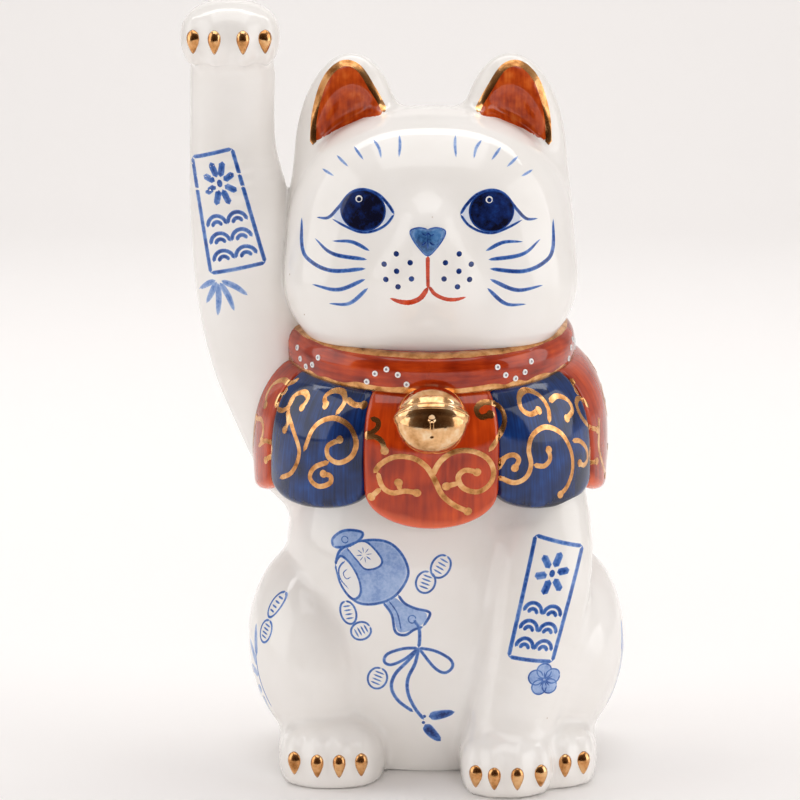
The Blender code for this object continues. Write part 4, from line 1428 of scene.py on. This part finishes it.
# ----------------------------------------
# Coins and sprigs on the flanks
# Cobalt under the glaze again: a leafy sprig on each thigh, turned to the side, with a pair of
# coins above the right one.
# ----------------------------------------
FLANK_COINS = ((-7.0, 52.6, 3.8, 2.6, 78), (-7.4, 44.6, 3.4, 3.2, 80))
SPRIG_LEAVES = ((36, 10, 70), (33, 11, 35), (30, 11, 0), (26, 10, -35), (23, 9, -70))
for name, side, azimuth, root in (("right", -1, -55, 12), ("left", 1, 62, 13)):
    flank = pencil(azimuth)
    lines = []
    if side < 0:
        for place in FLANK_COINS:
            lines += coin(*place, 0.9)
    for z, length, lean in SPRIG_LEAVES:
        out = length * math.cos(math.radians(lean))
        up = length * math.sin(math.radians(lean))
        leaf = ((root, z), (root + out / 2, z + up / 2 + 0.6), (root + out, z + up))
        lines.append(stroke(about(0, 0, leaf, side), 3.4, tip=(2.5, 6), load=0.55))
    stalk = ((root + 1, 38), (root - 0.5, 30), (root - 4, 20))
    lines.append(stroke(about(0, 0, stalk, side), 1.1, tip=(1, 3), load=0.75))
    paint(name + "_flank_motif", flank, lines, cobalt)

# ----------------------------------------
# Camera, light and floor
# A long lens level with the cat's chest. The cat stands on white paper swept up behind it, between
# two large soft lamps, with one overhead, one for the paper and a weak fill from the front.
# ----------------------------------------
CAMERA_DISTANCE = 1.1
CAMERA_RISE = math.radians(9.0)
VIEW_WIDTH = 0.25
SENSOR = 36.0
view_target = Vector((-9.4 * MM, 0, 112.5 * MM))
camera_data = bpy.data.cameras.new("camera")
camera_data.sensor_width = SENSOR
camera_data.lens = SENSOR * CAMERA_DISTANCE / VIEW_WIDTH
camera = bpy.data.objects.new("camera", camera_data)
back = Vector((0, -math.cos(CAMERA_RISE), math.sin(CAMERA_RISE)))
camera.location = view_target + back * CAMERA_DISTANCE
camera.rotation_euler = (-back).to_track_quat("-Z", "Y").to_euler()
bpy.context.scene.collection.objects.link(camera)
bpy.context.scene.camera = camera

FLOOR_HALF = 2.2
FLOOR_BEHIND = 1.5
SWEEP_RADIUS = 0.5
SWEEP_STEPS = 16
WALL_HIGH = 1.6
outline = [(-FLOOR_HALF, 0.0), (FLOOR_BEHIND, 0.0)]
for k in range(1, SWEEP_STEPS + 1):
    a = math.pi / 2 * k / SWEEP_STEPS
    outline.append((FLOOR_BEHIND + SWEEP_RADIUS * math.sin(a), SWEEP_RADIUS * (1 - math.cos(a))))
outline.append((FLOOR_BEHIND + SWEEP_RADIUS, WALL_HIGH))
corners = [(x, y, z) for y, z in outline for x in (-FLOOR_HALF, FLOOR_HALF)]
strips = [(2 * k, 2 * k + 1, 2 * k + 3, 2 * k + 2) for k in range(len(outline) - 1)]
paper_mesh = bpy.data.meshes.new("backdrop")
paper_mesh.from_pydata(corners, [], strips)
paper_mesh.polygons.foreach_set("use_smooth", [True] * len(strips))
backdrop = bpy.data.objects.new("backdrop", paper_mesh)
bpy.context.scene.collection.objects.link(backdrop)
paper, tree = new_finish("white_paper")
show(tree, {"Base Color": linear("F6F4F3"), "Roughness": 0.9})  # matt, a little warmer than white
paper_mesh.materials.append(paper)
ROOM = ((0.03, "54402F"), (0.2, "87725F"), (0.42, "F3EFEC"))  # dark behind the camera, pale around
ROOM_STRENGTH = 0.5


def softbox(name, place, size, watts, aim=(0, 0, 0.11)):
    """A lamp behind a cloth, aimed at the cat's middle unless it is told otherwise."""
    light = bpy.data.lights.new(name, "AREA")
    light.shape = "RECTANGLE"
    light.size, light.size_y = size
    light.energy = watts
    lamp = bpy.data.objects.new(name, light)
    lamp.location = place
    lamp.visible_camera = False
    lamp.rotation_euler = (Vector(aim) - Vector(place)).to_track_quat("-Z", "Y").to_euler()
    bpy.context.scene.collection.objects.link(lamp)
    return lamp


softbox("key_left", (-1.20, -0.10, 0.60), (1.0, 1.2), 4.8)
softbox("fill_right", (1.25, -0.15, 0.50), (1.0, 1.1), 5.2)
softbox("top", (0, -0.05, 1.15), (0.9, 0.9), 3.9)
softbox("paper_wash", (0, 0.6, 1.6), (2.6, 0.8), 21.0, aim=(0, 1.9, 0.35))
front_fill = softbox("front_fill", (0.1, -1.25, 0.24), (1.2, 0.5), 5.6)
front_fill.visible_glossy = False  # a bounced fill, too dim and wide to be seen in the glaze
world = bpy.data.worlds.new("studio")
world.use_nodes = True
tree = world.node_tree
sky = tree.nodes["Background"]
sight = add_node(tree, "ShaderNodeTexCoord").outputs["Generated"]
towards_camera = add_node(tree, "ShaderNodeSeparateXYZ", {"Vector": sight}).outputs["Y"]
span = {"Value": towards_camera, "From Min": -1, "From Max": 1}
share = add_node(tree, "ShaderNodeMapRange", span).outputs["Result"]
room = add_node(tree, "ShaderNodeValToRGB", {"Fac": share}, ROOM).outputs["Color"]
tree.links.new(room, sky.inputs["Color"])
sky.inputs["Strength"].default_value = ROOM_STRENGTH
bpy.context.scene.world = world
bpy.context.scene.view_settings.view_transform = "Standard"
